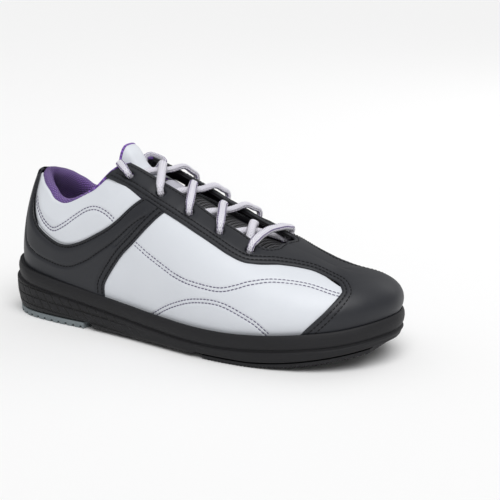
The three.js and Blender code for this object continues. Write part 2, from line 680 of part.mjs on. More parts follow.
// Lace
add('lace', tube(laceCurve(), laceRadius, 160, 8), 'lace');
for (const [name, side] of [['lateral', 1], ['medial', -1]]) {
  add(`lace_tail_${name}`, tube(tailPoints(side, 0, tailCut), laceRadius, 32, 8), 'lace');
  const tip = tailPoints(side, tailCut - 1, tailRoute.length);
  tip[0].lerp(tip[1], 0.08);
  add(`aglet_${name}`, tube(tip, laceRadius - gap, 4, 8), 'plastic');
}

export default shoe;
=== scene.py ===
import bpy
import math
import numpy as np
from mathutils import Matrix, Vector


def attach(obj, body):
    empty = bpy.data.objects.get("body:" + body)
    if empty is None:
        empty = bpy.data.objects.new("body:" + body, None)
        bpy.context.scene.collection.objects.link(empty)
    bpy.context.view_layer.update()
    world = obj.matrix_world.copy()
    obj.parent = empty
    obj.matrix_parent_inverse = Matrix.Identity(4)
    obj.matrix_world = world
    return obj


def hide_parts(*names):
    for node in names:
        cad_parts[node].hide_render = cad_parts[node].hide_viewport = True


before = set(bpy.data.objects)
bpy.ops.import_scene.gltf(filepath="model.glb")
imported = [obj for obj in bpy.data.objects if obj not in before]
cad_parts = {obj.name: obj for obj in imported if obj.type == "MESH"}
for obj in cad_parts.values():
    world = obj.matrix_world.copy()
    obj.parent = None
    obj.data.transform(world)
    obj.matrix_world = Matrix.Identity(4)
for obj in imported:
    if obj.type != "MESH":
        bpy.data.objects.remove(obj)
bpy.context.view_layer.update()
print("frame loaded")

# The last: one surface that every upper piece is an offset of
# Millimetres here; points are turned into the frame's metres by toFrame.
shoeSize = {"length": 285.0, "width": 104.0, "instep": 121.0, "rim": 38.0, "toeSpring": 12.4}
stationCount = 13
stations = {
    "along": [0, 0.016, 0.075, 0.165, 0.27, 0.375, 0.48, 0.58, 0.675, 0.765, 0.848, 0.92, 0.972, 1],
    "lateral": [0, 0.165, 0.288, 0.337, 0.356, 0.388, 0.433, 0.476, 0.493, 0.473, 0.417, 0.313, 0.16, -0.058],
    "medial": [0, 0.165, 0.285, 0.325, 0.315, 0.315, 0.345, 0.395, 0.45, 0.48, 0.475, 0.42, 0.31, 0.06],
    "rim": [1, 0.96, 0.895, 0.816, 0.724, 0.645, 0.579, 0.539, 0.539, 0.579, 0.645, 0.711, 0.789, 0.842],
    "depth": [18, 18, 17.5, 16.5, 15, 13.5, 12.5, 12, 12, 12, 12, 12.5, 13, 13],
    "inset": [7, 7, 6, 5, 4, 4, 4, 4, 4, 4, 4, 4, 4, 4],
    "spine": [0.14, 0.151, 0.175, 0.218, 0.284, 0.372, 0.47, 0.565, 0.66, 0.747, 0.811, 0.849, 0.87, 0.877],
    "height": [0.988, 0.992, 0.996, 1, 0.989, 0.938, 0.839, 0.727, 0.628, 0.545, 0.5, 0.471, 0.463, 0.459],
    "slope": [-0.05, -0.065, -0.1, -0.165, -0.335, -0.5, -0.48, -0.36, -0.24, -0.16, -0.13, -0.11, -0.1,
        -0.1],
    "bulge": [0.5, 1, 2.5, 4, 4, 4, 5, 6, 7, 8, 8, 8, 8, 8],
    "rise": [0.4, 0.4, 0.4, 0.42, 0.48, 0.58, 0.64, 0.66, 0.66, 0.64, 0.62, 0.62, 0.62, 0.62],
    "reach": [0.55, 0.55, 0.6, 0.66, 0.72, 0.76, 0.78, 0.78, 0.74, 0.66, 0.58, 0.55, 0.55, 0.55],
}
stations = {key: np.array(values, float) for key, values in stations.items()}


def toFrame(points):
    shift = np.array([-shoeSize["length"] / 2, shoeSize["width"] * 0.0065, 0.0])
    return (np.asarray(points, float) + shift) * 0.001


# Value at place u (0 heel, 0-1 lateral, 1 toe, 1-2 medial): a uniform Catmull-Rom curve through the
# stations
def around(u, lateral, medial=None):
    medial = lateral if medial is None else medial
    ring = np.concatenate([lateral, medial[-2:0:-1]])
    k = np.asarray(u, float) * stationCount
    i = np.floor(k).astype(int)
    f = k - i
    a, b, c, d = (ring[(i + j) % len(ring)] for j in (-1, 0, 1, 2))
    return 0.5 * (2 * b + (c - a) * f + (2 * a - 5 * b + 4 * c - d) * f**2 + (3 * b - a - 3 * c + d) * f**3)


def edgePoint(u):
    x = around(u, stations["along"]) * shoeSize["length"]
    y = around(u, -stations["lateral"], stations["medial"]) * shoeSize["width"]
    return np.stack([x, y], -1)


def edgeNormal(u):
    step = 1e-4
    d = edgePoint(u + step) - edgePoint(u - step)
    n = np.stack([d[..., 1], -d[..., 0]], -1)
    return n / np.linalg.norm(n, axis=-1, keepdims=True)


# Point of the sole outline moved outward by offset at height z
def outlinePoint(u, offset, z):
    u, offset, z = np.broadcast_arrays(np.asarray(u, float), offset, z)
    p = edgePoint(u) + edgeNormal(u) * offset[..., None]
    return np.concatenate([p, z[..., None]], -1)


def rimTop(u):
    return around(u, stations["rim"]) * shoeSize["rim"]


def floorTop(u):
    return rimTop(u) - around(u, stations["depth"])


# Ground line: flat to 72 % of the length, then rising with the power 1.6 of the distance
def groundRise(u):
    x = np.clip((around(u, stations["along"]) - 0.72) / 0.28, 0, None)
    return shoeSize["toeSpring"] * x**1.6


# Last point: a cubic Bezier per place, from the sole edge (t 0) to the centre line (t 1)
def lastPoint(u, t):
    u, t = np.broadcast_arrays(np.asarray(u, float), np.asarray(t, float))
    n = edgeNormal(u)
    b = edgePoint(u) - n * around(u, stations["inset"])[..., None]
    z0 = rimTop(u)
    x3 = around(u, stations["spine"]) * shoeSize["length"]
    z3 = around(u, stations["height"]) * shoeSize["instep"]
    bulge = around(u, stations["bulge"])
    z1 = z0 + around(u, stations["rise"]) * (z3 - z0)
    reach = around(u, stations["reach"])
    hx, hy = (b[..., 0] - x3) * reach, b[..., 1] * reach
    q = 1 - t
    w = [q**3, 3 * q * q * t, 3 * q * t * t, t**3]
    x = w[0] * b[..., 0] + w[1] * (b[..., 0] + n[..., 0] * bulge) + w[2] * (x3 + hx) + w[3] * x3
    y = w[0] * b[..., 1] + w[1] * (b[..., 1] + n[..., 1] * bulge) + w[2] * hy
    z = w[0] * z0 + w[1] * z1 + w[2] * (z3 + around(u, stations["slope"]) * hx) + w[3] * z3
    return np.stack([x, y, z], -1)


def lastTangents(u, t):
    step = 0.002
    s = np.clip(t, step, 1 - step)
    du = (lastPoint(u + step, s) - lastPoint(u - step, s)) / (2 * step)
    dt = (lastPoint(u, s + step) - lastPoint(u, s - step)) / (2 * step)
    return du, dt


def lastNormal(u, t):
    u, t = np.broadcast_arrays(np.asarray(u, float), np.asarray(t, float))
    n = np.cross(*lastTangents(u, t))
    n[..., 1] = np.where(t > 0.998, 0, n[..., 1])
    return n / np.linalg.norm(n, axis=-1, keepdims=True)


def at(u, t, d):
    return lastPoint(u, t) + lastNormal(u, t) * np.asarray(d, float)[..., None]


def mirror(u):
    return 2 - u


def same(u):
    return u


def smoothStep(x, low, high):
    f = np.clip((x - low) / (high - low), 0, 1)
    return f * f * (3 - 2 * f)


# Points at shares s of a uniform Catmull-Rom curve whose ends are held
def spline(points, s):
    p = np.array(points, float)
    last = len(p) - 1
    k = np.clip(np.asarray(s, float), 0, 1) * last
    i = np.minimum(np.floor(k).astype(int), last - 1)
    f = (k - i)[..., None]
    a, b, c, d = (p[np.clip(i + j, 0, last)] for j in (-1, 0, 1, 2))
    v0, v1 = (c - a) / 2, (d - b) / 2
    return (2 * b - 2 * c + v0 + v1) * f**3 + (3 * c - 3 * b - 2 * v0 - v1) * f**2 + v0 * f + b


# Distance travelled along a path up to each of its points
def runLength(points):
    steps = np.linalg.norm(np.diff(points, axis=0), axis=1)
    return np.concatenate([[0], np.cumsum(steps)])


# Resamples a line of (u, t) points at even steps of its length on the last
def evenLine(line, step=None, count=None):
    p = lastPoint(line[:, 0], line[:, 1])
    length = runLength(p)
    count = int(round(length[-1] / step)) + 1 if count is None else count
    where = np.linspace(0, length[-1], max(count, 2))
    return np.stack([np.interp(where, length, line[:, a]) for a in (0, 1)], -1)


# Moves a (u, t) line sideways on the surface by a distance in millimetres
def insetLine(line, distance):
    u, t = line[:, 0], line[:, 1]
    p = lastPoint(u, t)
    along = np.gradient(p, axis=0)
    along /= np.linalg.norm(along, axis=1, keepdims=True)
    side = np.cross(lastNormal(u, t), along) * distance
    du, dt = lastTangents(u, t)
    a, b, c = (du * du).sum(1), (du * dt).sum(1), (dt * dt).sum(1)
    e, f = (side * du).sum(1), (side * dt).sum(1)
    det = a * c - b * b
    return np.stack([u + (e * c - f * b) / det, t + (f * a - e * b) / det], -1)


# Mesh building
def makeObject(name, points, faces, body, nodes, material, weave=None, sharpDeg=38):
    points = toFrame(points)
    faces = np.asarray(faces)
    a, b, c = (points[faces[:, k]] for k in (0, 1, 2))
    volume = np.einsum("ij,ij->i", a, np.cross(b, c)).sum()
    if faces.shape[1] == 4:
        d = points[faces[:, 3]]
        volume += np.einsum("ij,ij->i", a, np.cross(c, d)).sum()
    if volume < 0:
        faces = faces[:, ::-1]
    mesh = bpy.data.meshes.new(name)
    mesh.from_pydata(points.tolist(), [], faces.tolist())
    if weave is not None:
        layer = mesh.attributes.new("weave", "FLOAT_VECTOR", "POINT")
        layer.data.foreach_set("vector", np.asarray(weave, np.float32).ravel())
    mesh.validate()
    mesh.polygons.foreach_set("use_smooth", np.ones(len(mesh.polygons), bool))
    mesh.set_sharp_from_angle(angle=math.radians(sharpDeg))
    mesh.materials.append(material)
    obj = bpy.data.objects.new(name, mesh)
    bpy.context.scene.collection.objects.link(obj)
    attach(obj, body)
    if nodes:
        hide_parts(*nodes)
    return obj


def gridFaces(rows, columns, flip=False):
    i, j = np.meshgrid(np.arange(rows - 1), np.arange(columns - 1), indexing="ij")
    a = (i * columns + j).ravel()
    quads = np.stack([a, a + columns, a + columns + 1, a + 1], 1)
    return quads[:, ::-1] if flip else quads


# Joins grids where their base points meet and closes them into a thick sheet:
# outer points, inner points, and a wall along every free edge
def sheetMesh(grids):
    base = np.concatenate([g["base"].reshape(-1, 3) for g in grids])
    outer = np.concatenate([g["outer"].reshape(-1, 3) for g in grids])
    inner = np.concatenate([g["inner"].reshape(-1, 3) for g in grids])
    weave = np.concatenate([g["weave"].reshape(-1, 3) for g in grids])
    faces, start = [], 0
    for g in grids:
        rows, columns = g["base"].shape[:2]
        quads = gridFaces(rows, columns, g["flip"])
        faces.append((quads[g["keep"].ravel()] if "keep" in g else quads) + start)
        start += rows * columns
    faces = np.concatenate(faces)
    _, first, index = np.unique(np.round(base * 100).astype(int), axis=0, return_index=True,
        return_inverse=True)
    faces = index.ravel()[faces]
    outer, inner, weave = outer[first], inner[first], weave[first]
    edges = np.concatenate([faces[:, [k, (k + 1) % 4]] for k in range(4)])
    edges = edges[edges[:, 0] != edges[:, 1]]
    count = len(outer)
    code, back = edges[:, 0] * count + edges[:, 1], edges[:, 1] * count + edges[:, 0]
    free = edges[~np.isin(back, code)]
    walls = np.stack([free[:, 1], free[:, 0], free[:, 0] + count, free[:, 1] + count], 1)
    allFaces = np.concatenate([faces, faces[:, ::-1] + count, walls])
    return np.concatenate([outer, inner]), allFaces, np.concatenate([weave, weave])


# Distance in millimetres from each grid point to the chosen edges of the grid
def edgeDistance(base, edges):
    alongRows = np.concatenate([np.zeros((1, base.shape[1])),
        np.cumsum(np.linalg.norm(np.diff(base, axis=0), axis=2), 0)])
    acrossColumns = np.concatenate([np.zeros((base.shape[0], 1)),
        np.cumsum(np.linalg.norm(np.diff(base, axis=1), axis=2), 1)], 1)
    options = {
        "start": alongRows, "end": alongRows[-1:] - alongRows,
        "low": acrossColumns, "top": acrossColumns[:, -1:] - acrossColumns,
    }
    found = [options[e] for e in edges] or [np.full(base.shape[:2], 99.0)]
    return np.minimum.reduce(found)


blockSize = 4000  # points measured at once


# Distance from each point to the nearest point of the lines, a block at a time
def lineDistance(points, lines):
    flat = points.reshape(-1, 3)
    target = np.concatenate([lastPoint(line[:, 0], line[:, 1]) for line in lines])
    out = np.full(len(flat), 99.0)
    for k in range(0, len(flat), blockSize):
        block = flat[k:k + blockSize]
        out[k:k + blockSize] = np.sqrt(((block[:, None] - target[None]) ** 2).sum(2).min(1))
    return out.reshape(points.shape[:-1])


def ringMesh(points):
    rings, count = points.shape[:2]
    i = np.arange(count)
    faces = [np.stack([r * count + i, r * count + (i + 1) % count, (r + 1) * count + (i + 1) % count,
        (r + 1) * count + i], 1) for r in range(rings - 1)]
    half = count // 2
    k = np.arange(half)
    cap = np.stack([k, k + 1, (count - k - 1) % count, (count - k) % count], 1)
    faces = np.concatenate(faces + [cap[:, ::-1], cap + (rings - 1) * count])
    return points.reshape(-1, 3), faces


# Tube round a path: a rounded oval section carried on a frame that stays square to the path
def tubeMesh(path, side, width, thickness, sides=20, phase=0.0):
    tangent = np.gradient(path, axis=0)
    tangent /= np.linalg.norm(tangent, axis=1, keepdims=True)
    side = side - (side * tangent).sum(1, keepdims=True) * tangent
    side /= np.linalg.norm(side, axis=1, keepdims=True)
    up = np.cross(tangent, side)
    angle = np.linspace(0, 2 * math.pi, sides, endpoint=False) + phase
    power = 0.8
    ca, sa = np.cos(angle), np.sin(angle)
    ca, sa = np.sign(ca) * np.abs(ca) ** power, np.sign(sa) * np.abs(sa) ** power
    w = np.broadcast_to(width, len(path))[:, None, None] / 2
    h = np.broadcast_to(thickness, len(path))[:, None, None] / 2
    ring = path[:, None] + side[:, None] * w * ca[None, :, None] + up[:, None] * h * sa[None, :, None]
    count = len(path)
    i, j = np.meshgrid(np.arange(count - 1), np.arange(sides), indexing="ij")
    n = (j + 1) % sides
    faces = np.stack([(i * sides + j).ravel(), (i * sides + n).ravel(), ((i + 1) * sides + n).ravel(),
        ((i + 1) * sides + j).ravel()], 1)
    ends = np.stack([path[0], path[-1]])
    total = count * sides
    k = np.arange(sides)
    m = (k + 1) % sides
    capA = np.stack([np.full(sides, total), m, k, k], 1)
    capB = np.stack([np.full(sides, total + 1), (count - 1) * sides + k, (count - 1) * sides + m,
        (count - 1) * sides + m], 1)
    length = runLength(path)
    weave = np.stack([np.repeat(length, sides), np.tile(k / sides, count), np.zeros(total)], 1)
    weave = np.concatenate([weave, [[0, 0, 0], [length[-1], 0, 0]]])
    triangles = np.concatenate([capA, capB])[:, :3]
    return np.concatenate([ring.reshape(-1, 3), ends]), faces, triangles, weave


def tubeObject(name, path, side, width, thickness, body, nodes, material, sides=20, phase=0.0):
    points, quads, triangles, weave = tubeMesh(path, side, width, thickness, sides, phase)
    mesh = bpy.data.meshes.new(name)
    mesh.from_pydata(toFrame(points).tolist(), [], quads.tolist() + triangles.tolist())
    layer = mesh.attributes.new("weave", "FLOAT_VECTOR", "POINT")
    layer.data.foreach_set("vector", weave.astype(np.float32).ravel())
    mesh.polygons.foreach_set("use_smooth", np.ones(len(mesh.polygons), bool))
    mesh.set_sharp_from_angle(angle=math.radians(50))
    mesh.materials.append(material)
    obj = bpy.data.objects.new(name, mesh)
    bpy.context.scene.collection.objects.link(obj)
    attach(obj, body)
    if nodes:
        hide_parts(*nodes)
    return obj


# Carries a side vector along a path without twist
def carriedSide(path, start):
    tangent = np.gradient(path, axis=0)
    tangent /= np.linalg.norm(tangent, axis=1, keepdims=True)
    side = [np.array(start, float)]
    for k in range(1, len(path)):
        s = side[-1] - (side[-1] @ tangent[k]) * tangent[k]
        side.append(s / np.linalg.norm(s))
    return np.array(side)


# Dense even points on a centripetal curve through the given points
def curvePath(points, step):
    p = np.array(points, float)
    ends = np.concatenate([[2 * p[0] - p[1]], p, [2 * p[-1] - p[-2]]])
    gaps = np.maximum(np.linalg.norm(np.diff(ends, axis=0), axis=1), 1e-4) ** 0.5
    pieces = []
    for k in range(len(p) - 1):
        a, b, c, d = ends[k:k + 4]
        t1, t2, t3 = gaps[k], gaps[k] + gaps[k + 1], gaps[k:k + 3].sum()
        t = np.linspace(t1, t2, 12, endpoint=False)[:, None]
        ab = a * (t1 - t) / t1 + b * t / t1
        bc = b * (t2 - t) / (t2 - t1) + c * (t - t1) / (t2 - t1)
        cd = c * (t3 - t) / (t3 - t2) + d * (t - t2) / (t3 - t2)
        abc = ab * (t2 - t) / t2 + bc * t / t2
        bcd = bc * (t3 - t) / (t3 - t1) + cd * (t - t1) / (t3 - t1)
        pieces.append(abc * (t2 - t) / (t2 - t1) + bcd * (t - t1) / (t2 - t1))
    dense = np.concatenate(pieces + [p[-1:]])
    length = runLength(dense)
    where = np.linspace(0, length[-1], int(length[-1] / step) + 1)
    return np.stack([np.interp(where, length, dense[:, a]) for a in range(3)], -1)


# Finishes
def newMaterial(name):
    material = bpy.data.materials.new(name)
    material.use_nodes = True
    tree = material.node_tree
    shader = tree.nodes["Principled BSDF"]
    return material, tree, shader


def node(tree, kind, **inputs):
    made = tree.nodes.new(kind)
    for key, value in inputs.items():
        if hasattr(made, key):
            setattr(made, key, value)
        else:
            made.inputs[key.replace("_", " ")].default_value = value
    return made


def mathNode(tree, operation, a, b=None):
    made = tree.nodes.new("ShaderNodeMath")
    made.operation = operation
    for k, value in enumerate([a, b]):
        if value is None:
            continue
        if isinstance(value, (int, float)):
            made.inputs[k].default_value = value
        else:
            tree.links.new(value, made.inputs[k])
    return made.outputs[0]


def mixColours(tree, factor, a, b):
    mix = tree.nodes.new("ShaderNodeMix")
    mix.data_type = "RGBA"
    tree.links.new(factor, mix.inputs["Factor"])
    for socket, value in ((mix.inputs[6], a), (mix.inputs[7], b)):
        if isinstance(value, tuple):
            socket.default_value = (*value, 1)
        else:
            tree.links.new(value, socket)
    return mix.outputs[2]


def bumpNode(tree, height, distance, strength=1.0, below=None):
    bump = node(tree, "ShaderNodeBump", Strength=strength, Distance=distance)
    tree.links.new(height, bump.inputs["Height"])
    if below is not None:
        tree.links.new(below, bump.inputs["Normal"])
    return bump.outputs["Normal"]


def objectPlace(tree):
    return tree.nodes.new("ShaderNodeTexCoord").outputs["Object"]


def noiseNode(tree, place, scale, detail=3.0, roughness=0.55):
    noise = node(tree, "ShaderNodeTexNoise", Scale=scale, Detail=detail, Roughness=roughness)
    tree.links.new(place, noise.inputs["Vector"])
    return noise.outputs["Fac"]


def weaveParts(tree):
    read = tree.nodes.new("ShaderNodeAttribute")
    read.attribute_name = "weave"
    parts = tree.nodes.new("ShaderNodeSeparateXYZ")
    tree.links.new(read.outputs["Vector"], parts.inputs[0])
    return parts.outputs["X"], parts.outputs["Y"]


# Leather: pebbled cells over a fine noise, with slow changes of tone and of gloss
def leather(name, settings):
    material, tree, shader = newMaterial(name)
    place = objectPlace(tree)
    tone = noiseNode(tree, place, 28.0, 4.0)
    tree.links.new(mixColours(tree, tone, settings["colour"], settings["tone"]), shader.inputs["Base Color"])
    cells = node(tree, "ShaderNodeTexVoronoi", Scale=settings["grainScale"])
    cells.feature = "SMOOTH_F1"
    tree.links.new(place, cells.inputs["Vector"])
    fine = noiseNode(tree, place, settings["grainScale"] * 2.2, 2.0)
    low = bumpNode(tree, fine, settings["grainDepth"] * 0.5)
    tree.links.new(bumpNode(tree, cells.outputs["Distance"], settings["grainDepth"], 1.0, low),
        shader.inputs["Normal"])
    gloss = mathNode(tree, "MULTIPLY_ADD", tone, 0.12)
    gloss.node.inputs[2].default_value = settings["roughness"]
    tree.links.new(gloss, shader.inputs["Roughness"])
    shader.inputs["Specular IOR Level"].default_value = settings["shine"]
    shader.inputs["Coat Weight"].default_value = settings["coat"]
    shader.inputs["Coat Roughness"].default_value = 0.35
    return material


# Knit: rows of loops, height |sin(x)| times |sin(y + a shift on every other row)|
def knit(name, settings):
    material, tree, shader = newMaterial(name)
    x, y = weaveParts(tree)
    pitch = math.pi / settings["pitch"]
    shiftX = mathNode(tree, "MULTIPLY", mathNode(tree, "SINE", mathNode(tree, "MULTIPLY", x, pitch)), 0.9)
    column = mathNode(tree, "ABSOLUTE", mathNode(tree, "SINE", mathNode(tree, "MULTIPLY", x, pitch)))
    row = mathNode(tree, "ABSOLUTE", mathNode(tree, "SINE",
        mathNode(tree, "ADD", mathNode(tree, "MULTIPLY", y, pitch * 1.25), shiftX)))
    height = mathNode(tree, "MULTIPLY", column, row)
    place = objectPlace(tree)
    tone = noiseNode(tree, place, 60.0, 5.0)
    fuzz = noiseNode(tree, place, 2600.0, 2.0)
    colour = mixColours(tree, tone, settings["colour"], settings["tone"])
    shade = mixColours(tree, mathNode(tree, "POWER", height, 0.6), settings["shadow"], colour)
    tree.links.new(shade, shader.inputs["Base Color"])
    low = bumpNode(tree, fuzz, 0.00012)
    tree.links.new(bumpNode(tree, height, settings["depth"], 1.0, low), shader.inputs["Normal"])
    shader.inputs["Roughness"].default_value = 0.9
    shader.inputs["Sheen Weight"].default_value = settings["sheen"]
    shader.inputs["Sheen Roughness"].default_value = 0.5
    shader.inputs["Specular IOR Level"].default_value = 0.25
    return material


# Rubber: matt, with a fine moulded noise and dusty tone
def rubber(name, settings):
    material, tree, shader = newMaterial(name)
    place = objectPlace(tree)
    tone = noiseNode(tree, place, 45.0, 6.0, 0.65)
    tree.links.new(mixColours(tree, tone, settings["colour"], settings["tone"]), shader.inputs["Base Color"])
    fine = noiseNode(tree, place, settings["grainScale"], 3.0)
    tree.links.new(bumpNode(tree, fine, settings["grainDepth"]), shader.inputs["Normal"])
    gloss = mathNode(tree, "MULTIPLY_ADD", tone, 0.15)
    gloss.node.inputs[2].default_value = settings["roughness"]
    tree.links.new(gloss, shader.inputs["Roughness"])
    shader.inputs["Specular IOR Level"].default_value = 0.25
    return material


# Moulded wall: rubber with crossing grooves, narrow where a cosine comes near one
def mouldedRubber(name, settings):
    material, tree, shader = newMaterial(name)
    read = tree.nodes.new("ShaderNodeAttribute")
    read.attribute_name = "weave"
    parts = tree.nodes.new("ShaderNodeSeparateXYZ")
    tree.links.new(read.outputs["Vector"], parts.inputs[0])
    x, y, mask = parts.outputs["X"], parts.outputs["Y"], parts.outputs["Z"]

    def grooves(slope, growth, pitch):
        lean = mathNode(tree, "MULTIPLY", y, mathNode(tree, "ADD", mathNode(tree, "MULTIPLY", x, growth),
            slope))
        wave = mathNode(tree, "COSINE", mathNode(tree, "MULTIPLY", mathNode(tree, "ADD", x, lean),
            2 * math.pi / pitch))
        return mathNode(tree, "POWER", mathNode(tree, "MAXIMUM", wave, 0.0), settings["sharp"])

    level = mathNode(tree, "COSINE", mathNode(tree, "MULTIPLY",
        mathNode(tree, "ADD", y, mathNode(tree, "MULTIPLY", x, settings["levelSlope"])),
        2 * math.pi / settings["levelPitch"]))
    level = mathNode(tree, "POWER", mathNode(tree, "MAXIMUM", level, 0.0), settings["sharp"])
    crossing = mathNode(tree, "MAXIMUM", grooves(0.35, 0.006, settings["pitch"]), level)
    crossing = mathNode(tree, "MULTIPLY", crossing, mask)
    place = objectPlace(tree)
    tone = noiseNode(tree, place, 45.0, 6.0, 0.65)
    body = mixColours(tree, tone, settings["colour"], settings["tone"])
    tree.links.new(mixColours(tree, crossing, body, settings["shadow"]), shader.inputs["Base Color"])
    fine = noiseNode(tree, place, settings["grainScale"], 3.0)
    low = bumpNode(tree, fine, settings["grainDepth"])
    height = mathNode(tree, "SUBTRACT", 1.0, crossing)
    tree.links.new(bumpNode(tree, height, settings["depth"], 1.0, low), shader.inputs["Normal"])
    gloss = mathNode(tree, "MULTIPLY_ADD", tone, 0.15)
    gloss.node.inputs[2].default_value = settings["roughness"]
    tree.links.new(gloss, shader.inputs["Roughness"])
    shader.inputs["Specular IOR Level"].default_value = 0.28
    return material


# Cord: two crossing sets of strands round the cord, height sin(a+b) times sin(a-b), with a coloured line
def cordFinish(name, settings):
    material, tree, shader = newMaterial(name)
    x, y = weaveParts(tree)
    along = mathNode(tree, "MULTIPLY", x, math.pi / settings["pitch"])
    turn = mathNode(tree, "MULTIPLY", y, 2 * math.pi * settings["strands"] / 2)
    a = mathNode(tree, "ABSOLUTE", mathNode(tree, "SINE", mathNode(tree, "ADD", along, turn)))
    b = mathNode(tree, "ABSOLUTE", mathNode(tree, "SINE", mathNode(tree, "SUBTRACT", along, turn)))
    height = mathNode(tree, "MAXIMUM", a, b)
    away = mathNode(tree, "ABSOLUTE", mathNode(tree, "SUBTRACT", y, settings["linePlace"]))
    away = mathNode(tree, "ABSOLUTE", mathNode(tree, "SUBTRACT", away, settings["lineReach"]))
    line = mathNode(tree, "LESS_THAN", away, settings["lineWidth"])
    place = objectPlace(tree)
    tone = noiseNode(tree, place, 140.0, 4.0)
    body = mixColours(tree, tone, settings["colour"], settings["tone"])
    colour = mixColours(tree, line, body, settings["line"])
    shade = mixColours(tree, mathNode(tree, "POWER", height, 0.5), settings["shadow"], colour)
    tree.links.new(shade, shader.inputs["Base Color"])
    tree.links.new(bumpNode(tree, height, settings["depth"]), shader.inputs["Normal"])
    shader.inputs["Roughness"].default_value = 0.85
    shader.inputs["Sheen Weight"].default_value = 0.15
    shader.inputs["Specular IOR Level"].default_value = 0.25
    return material


# Spacer mesh: round openings in a staggered pattern, darker inside
def openMesh(name, settings):
    material, tree, shader = newMaterial(name)
    x, y = weaveParts(tree)
    size = math.pi / settings["pitch"]
    sx = mathNode(tree, "SINE", mathNode(tree, "MULTIPLY", x, size))
    sy = mathNode(tree, "SINE", mathNode(tree, "MULTIPLY", y, size))
    product = mathNode(tree, "ABSOLUTE", mathNode(tree, "MULTIPLY", sx, sy))
    rim = mathNode(tree, "SUBTRACT", 1.0, mathNode(tree, "SMOOTH_MIN", product, 0.6))
    hole = mathNode(tree, "GREATER_THAN", product, 0.22)
    place = objectPlace(tree)
    tone = noiseNode(tree, place, 80.0, 4.0)
    colour = mixColours(tree, tone, settings["colour"], settings["tone"])
    tree.links.new(mixColours(tree, hole, colour, settings["shadow"]), shader.inputs["Base Color"])
    tree.links.new(bumpNode(tree, rim, settings["depth"]), shader.inputs["Normal"])
    shader.inputs["Roughness"].default_value = 0.8
    shader.inputs["Specular IOR Level"].default_value = 0.3
    return material


finishes = {
    "white": leather("whiteLeather", {"colour": (0.70, 0.725, 0.765), "tone": (0.64, 0.665, 0.71),
        "grainScale": 1100.0, "grainDepth": 0.00004, "roughness": 0.38, "shine": 0.4, "coat": 0.0}),
    "black": leather("blackLeather", {"colour": (0.0115, 0.0125, 0.0165), "tone": (0.018, 0.0195, 0.0245),
        "grainScale": 1100.0, "grainDepth": 0.00004, "roughness": 0.44, "shine": 0.42, "coat": 0.0}),
    "sole": rubber("soleRubber", {"colour": (0.012, 0.012, 0.0135), "tone": (0.020, 0.020, 0.022),
        "grainScale": 1800.0, "grainDepth": 0.00012, "roughness": 0.55}),
    "cup": mouldedRubber("cupRubber", {"colour": (0.009, 0.009, 0.0105), "tone": (0.016, 0.016, 0.018),
        "shadow": (0.002, 0.002, 0.0024), "grainScale": 1800.0, "grainDepth": 0.00012, "roughness": 0.55,
        "pitch": 8.0, "levelPitch": 6.0, "levelSlope": 0.06, "sharp": 7.0, "depth": 0.0018}),
    "pad": rubber("heelPadRubber", {"colour": (0.165, 0.19, 0.20), "tone": (0.22, 0.25, 0.265),
        "grainScale": 1500.0, "grainDepth": 0.0002, "roughness": 0.75}),
    "purple": knit("purpleKnit", {"colour": (0.24, 0.105, 0.50), "tone": (0.33, 0.165, 0.63),
        "shadow": (0.06, 0.02, 0.16), "pitch": 2.3, "depth": 0.0012, "sheen": 0.25}),
    "mesh": openMesh("blackMesh", {"colour": (0.13, 0.13, 0.14), "tone": (0.20, 0.20, 0.21),
        "shadow": (0.003, 0.003, 0.0035), "pitch": 2.6, "depth": 0.0009}),
    "lace": cordFinish("laceCord", {"colour": (0.86, 0.85, 0.90), "tone": (0.79, 0.77, 0.86),
        "shadow": (0.50, 0.46, 0.60), "line": (0.085, 0.035, 0.20), "pitch": 2.2, "strands": 10,
        "depth": 0.0008, "linePlace": 0.25, "lineReach": 0.15, "lineWidth": 0.03}),
    "web": knit("whiteWebbing", {"colour": (0.72, 0.72, 0.77), "tone": (0.63, 0.63, 0.69),
        "shadow": (0.36, 0.35, 0.42), "pitch": 0.9, "depth": 0.0002, "sheen": 0.1}),
    "backing": rubber("hookBacking", {"colour": (0.010, 0.010, 0.012), "tone": (0.020, 0.020, 0.022),
        "grainScale": 2600.0, "grainDepth": 0.0004, "roughness": 0.85}),
    "board": rubber("fibreBoard", {"colour": (0.45, 0.37, 0.26), "tone": (0.52, 0.43, 0.31),
        "grainScale": 1600.0, "grainDepth": 0.0001, "roughness": 0.8}),
    "foam": rubber("openFoam", {"colour": (0.66, 0.62, 0.50), "tone": (0.72, 0.69, 0.57),
        "grainScale": 1300.0, "grainDepth": 0.0005, "roughness": 0.9}),
    "tip": leather("clearTip", {"colour": (0.75, 0.74, 0.78), "tone": (0.70, 0.69, 0.74),
        "grainScale": 300.0, "grainDepth": 0.00001, "roughness": 0.18, "shine": 0.6, "coat": 0.4}),
    "blackThread": rubber("blackThread", {"colour": (0.0025, 0.0025, 0.003),
        "tone": (0.005, 0.005, 0.006), "grainScale": 4000.0, "grainDepth": 0.0001, "roughness": 0.5}),
    "plumThread": rubber("plumThread", {"colour": (0.085, 0.07, 0.13), "tone": (0.12, 0.10, 0.18),
        "grainScale": 4000.0, "grainDepth": 0.0001, "roughness": 0.5}),
}
print("finishes made")

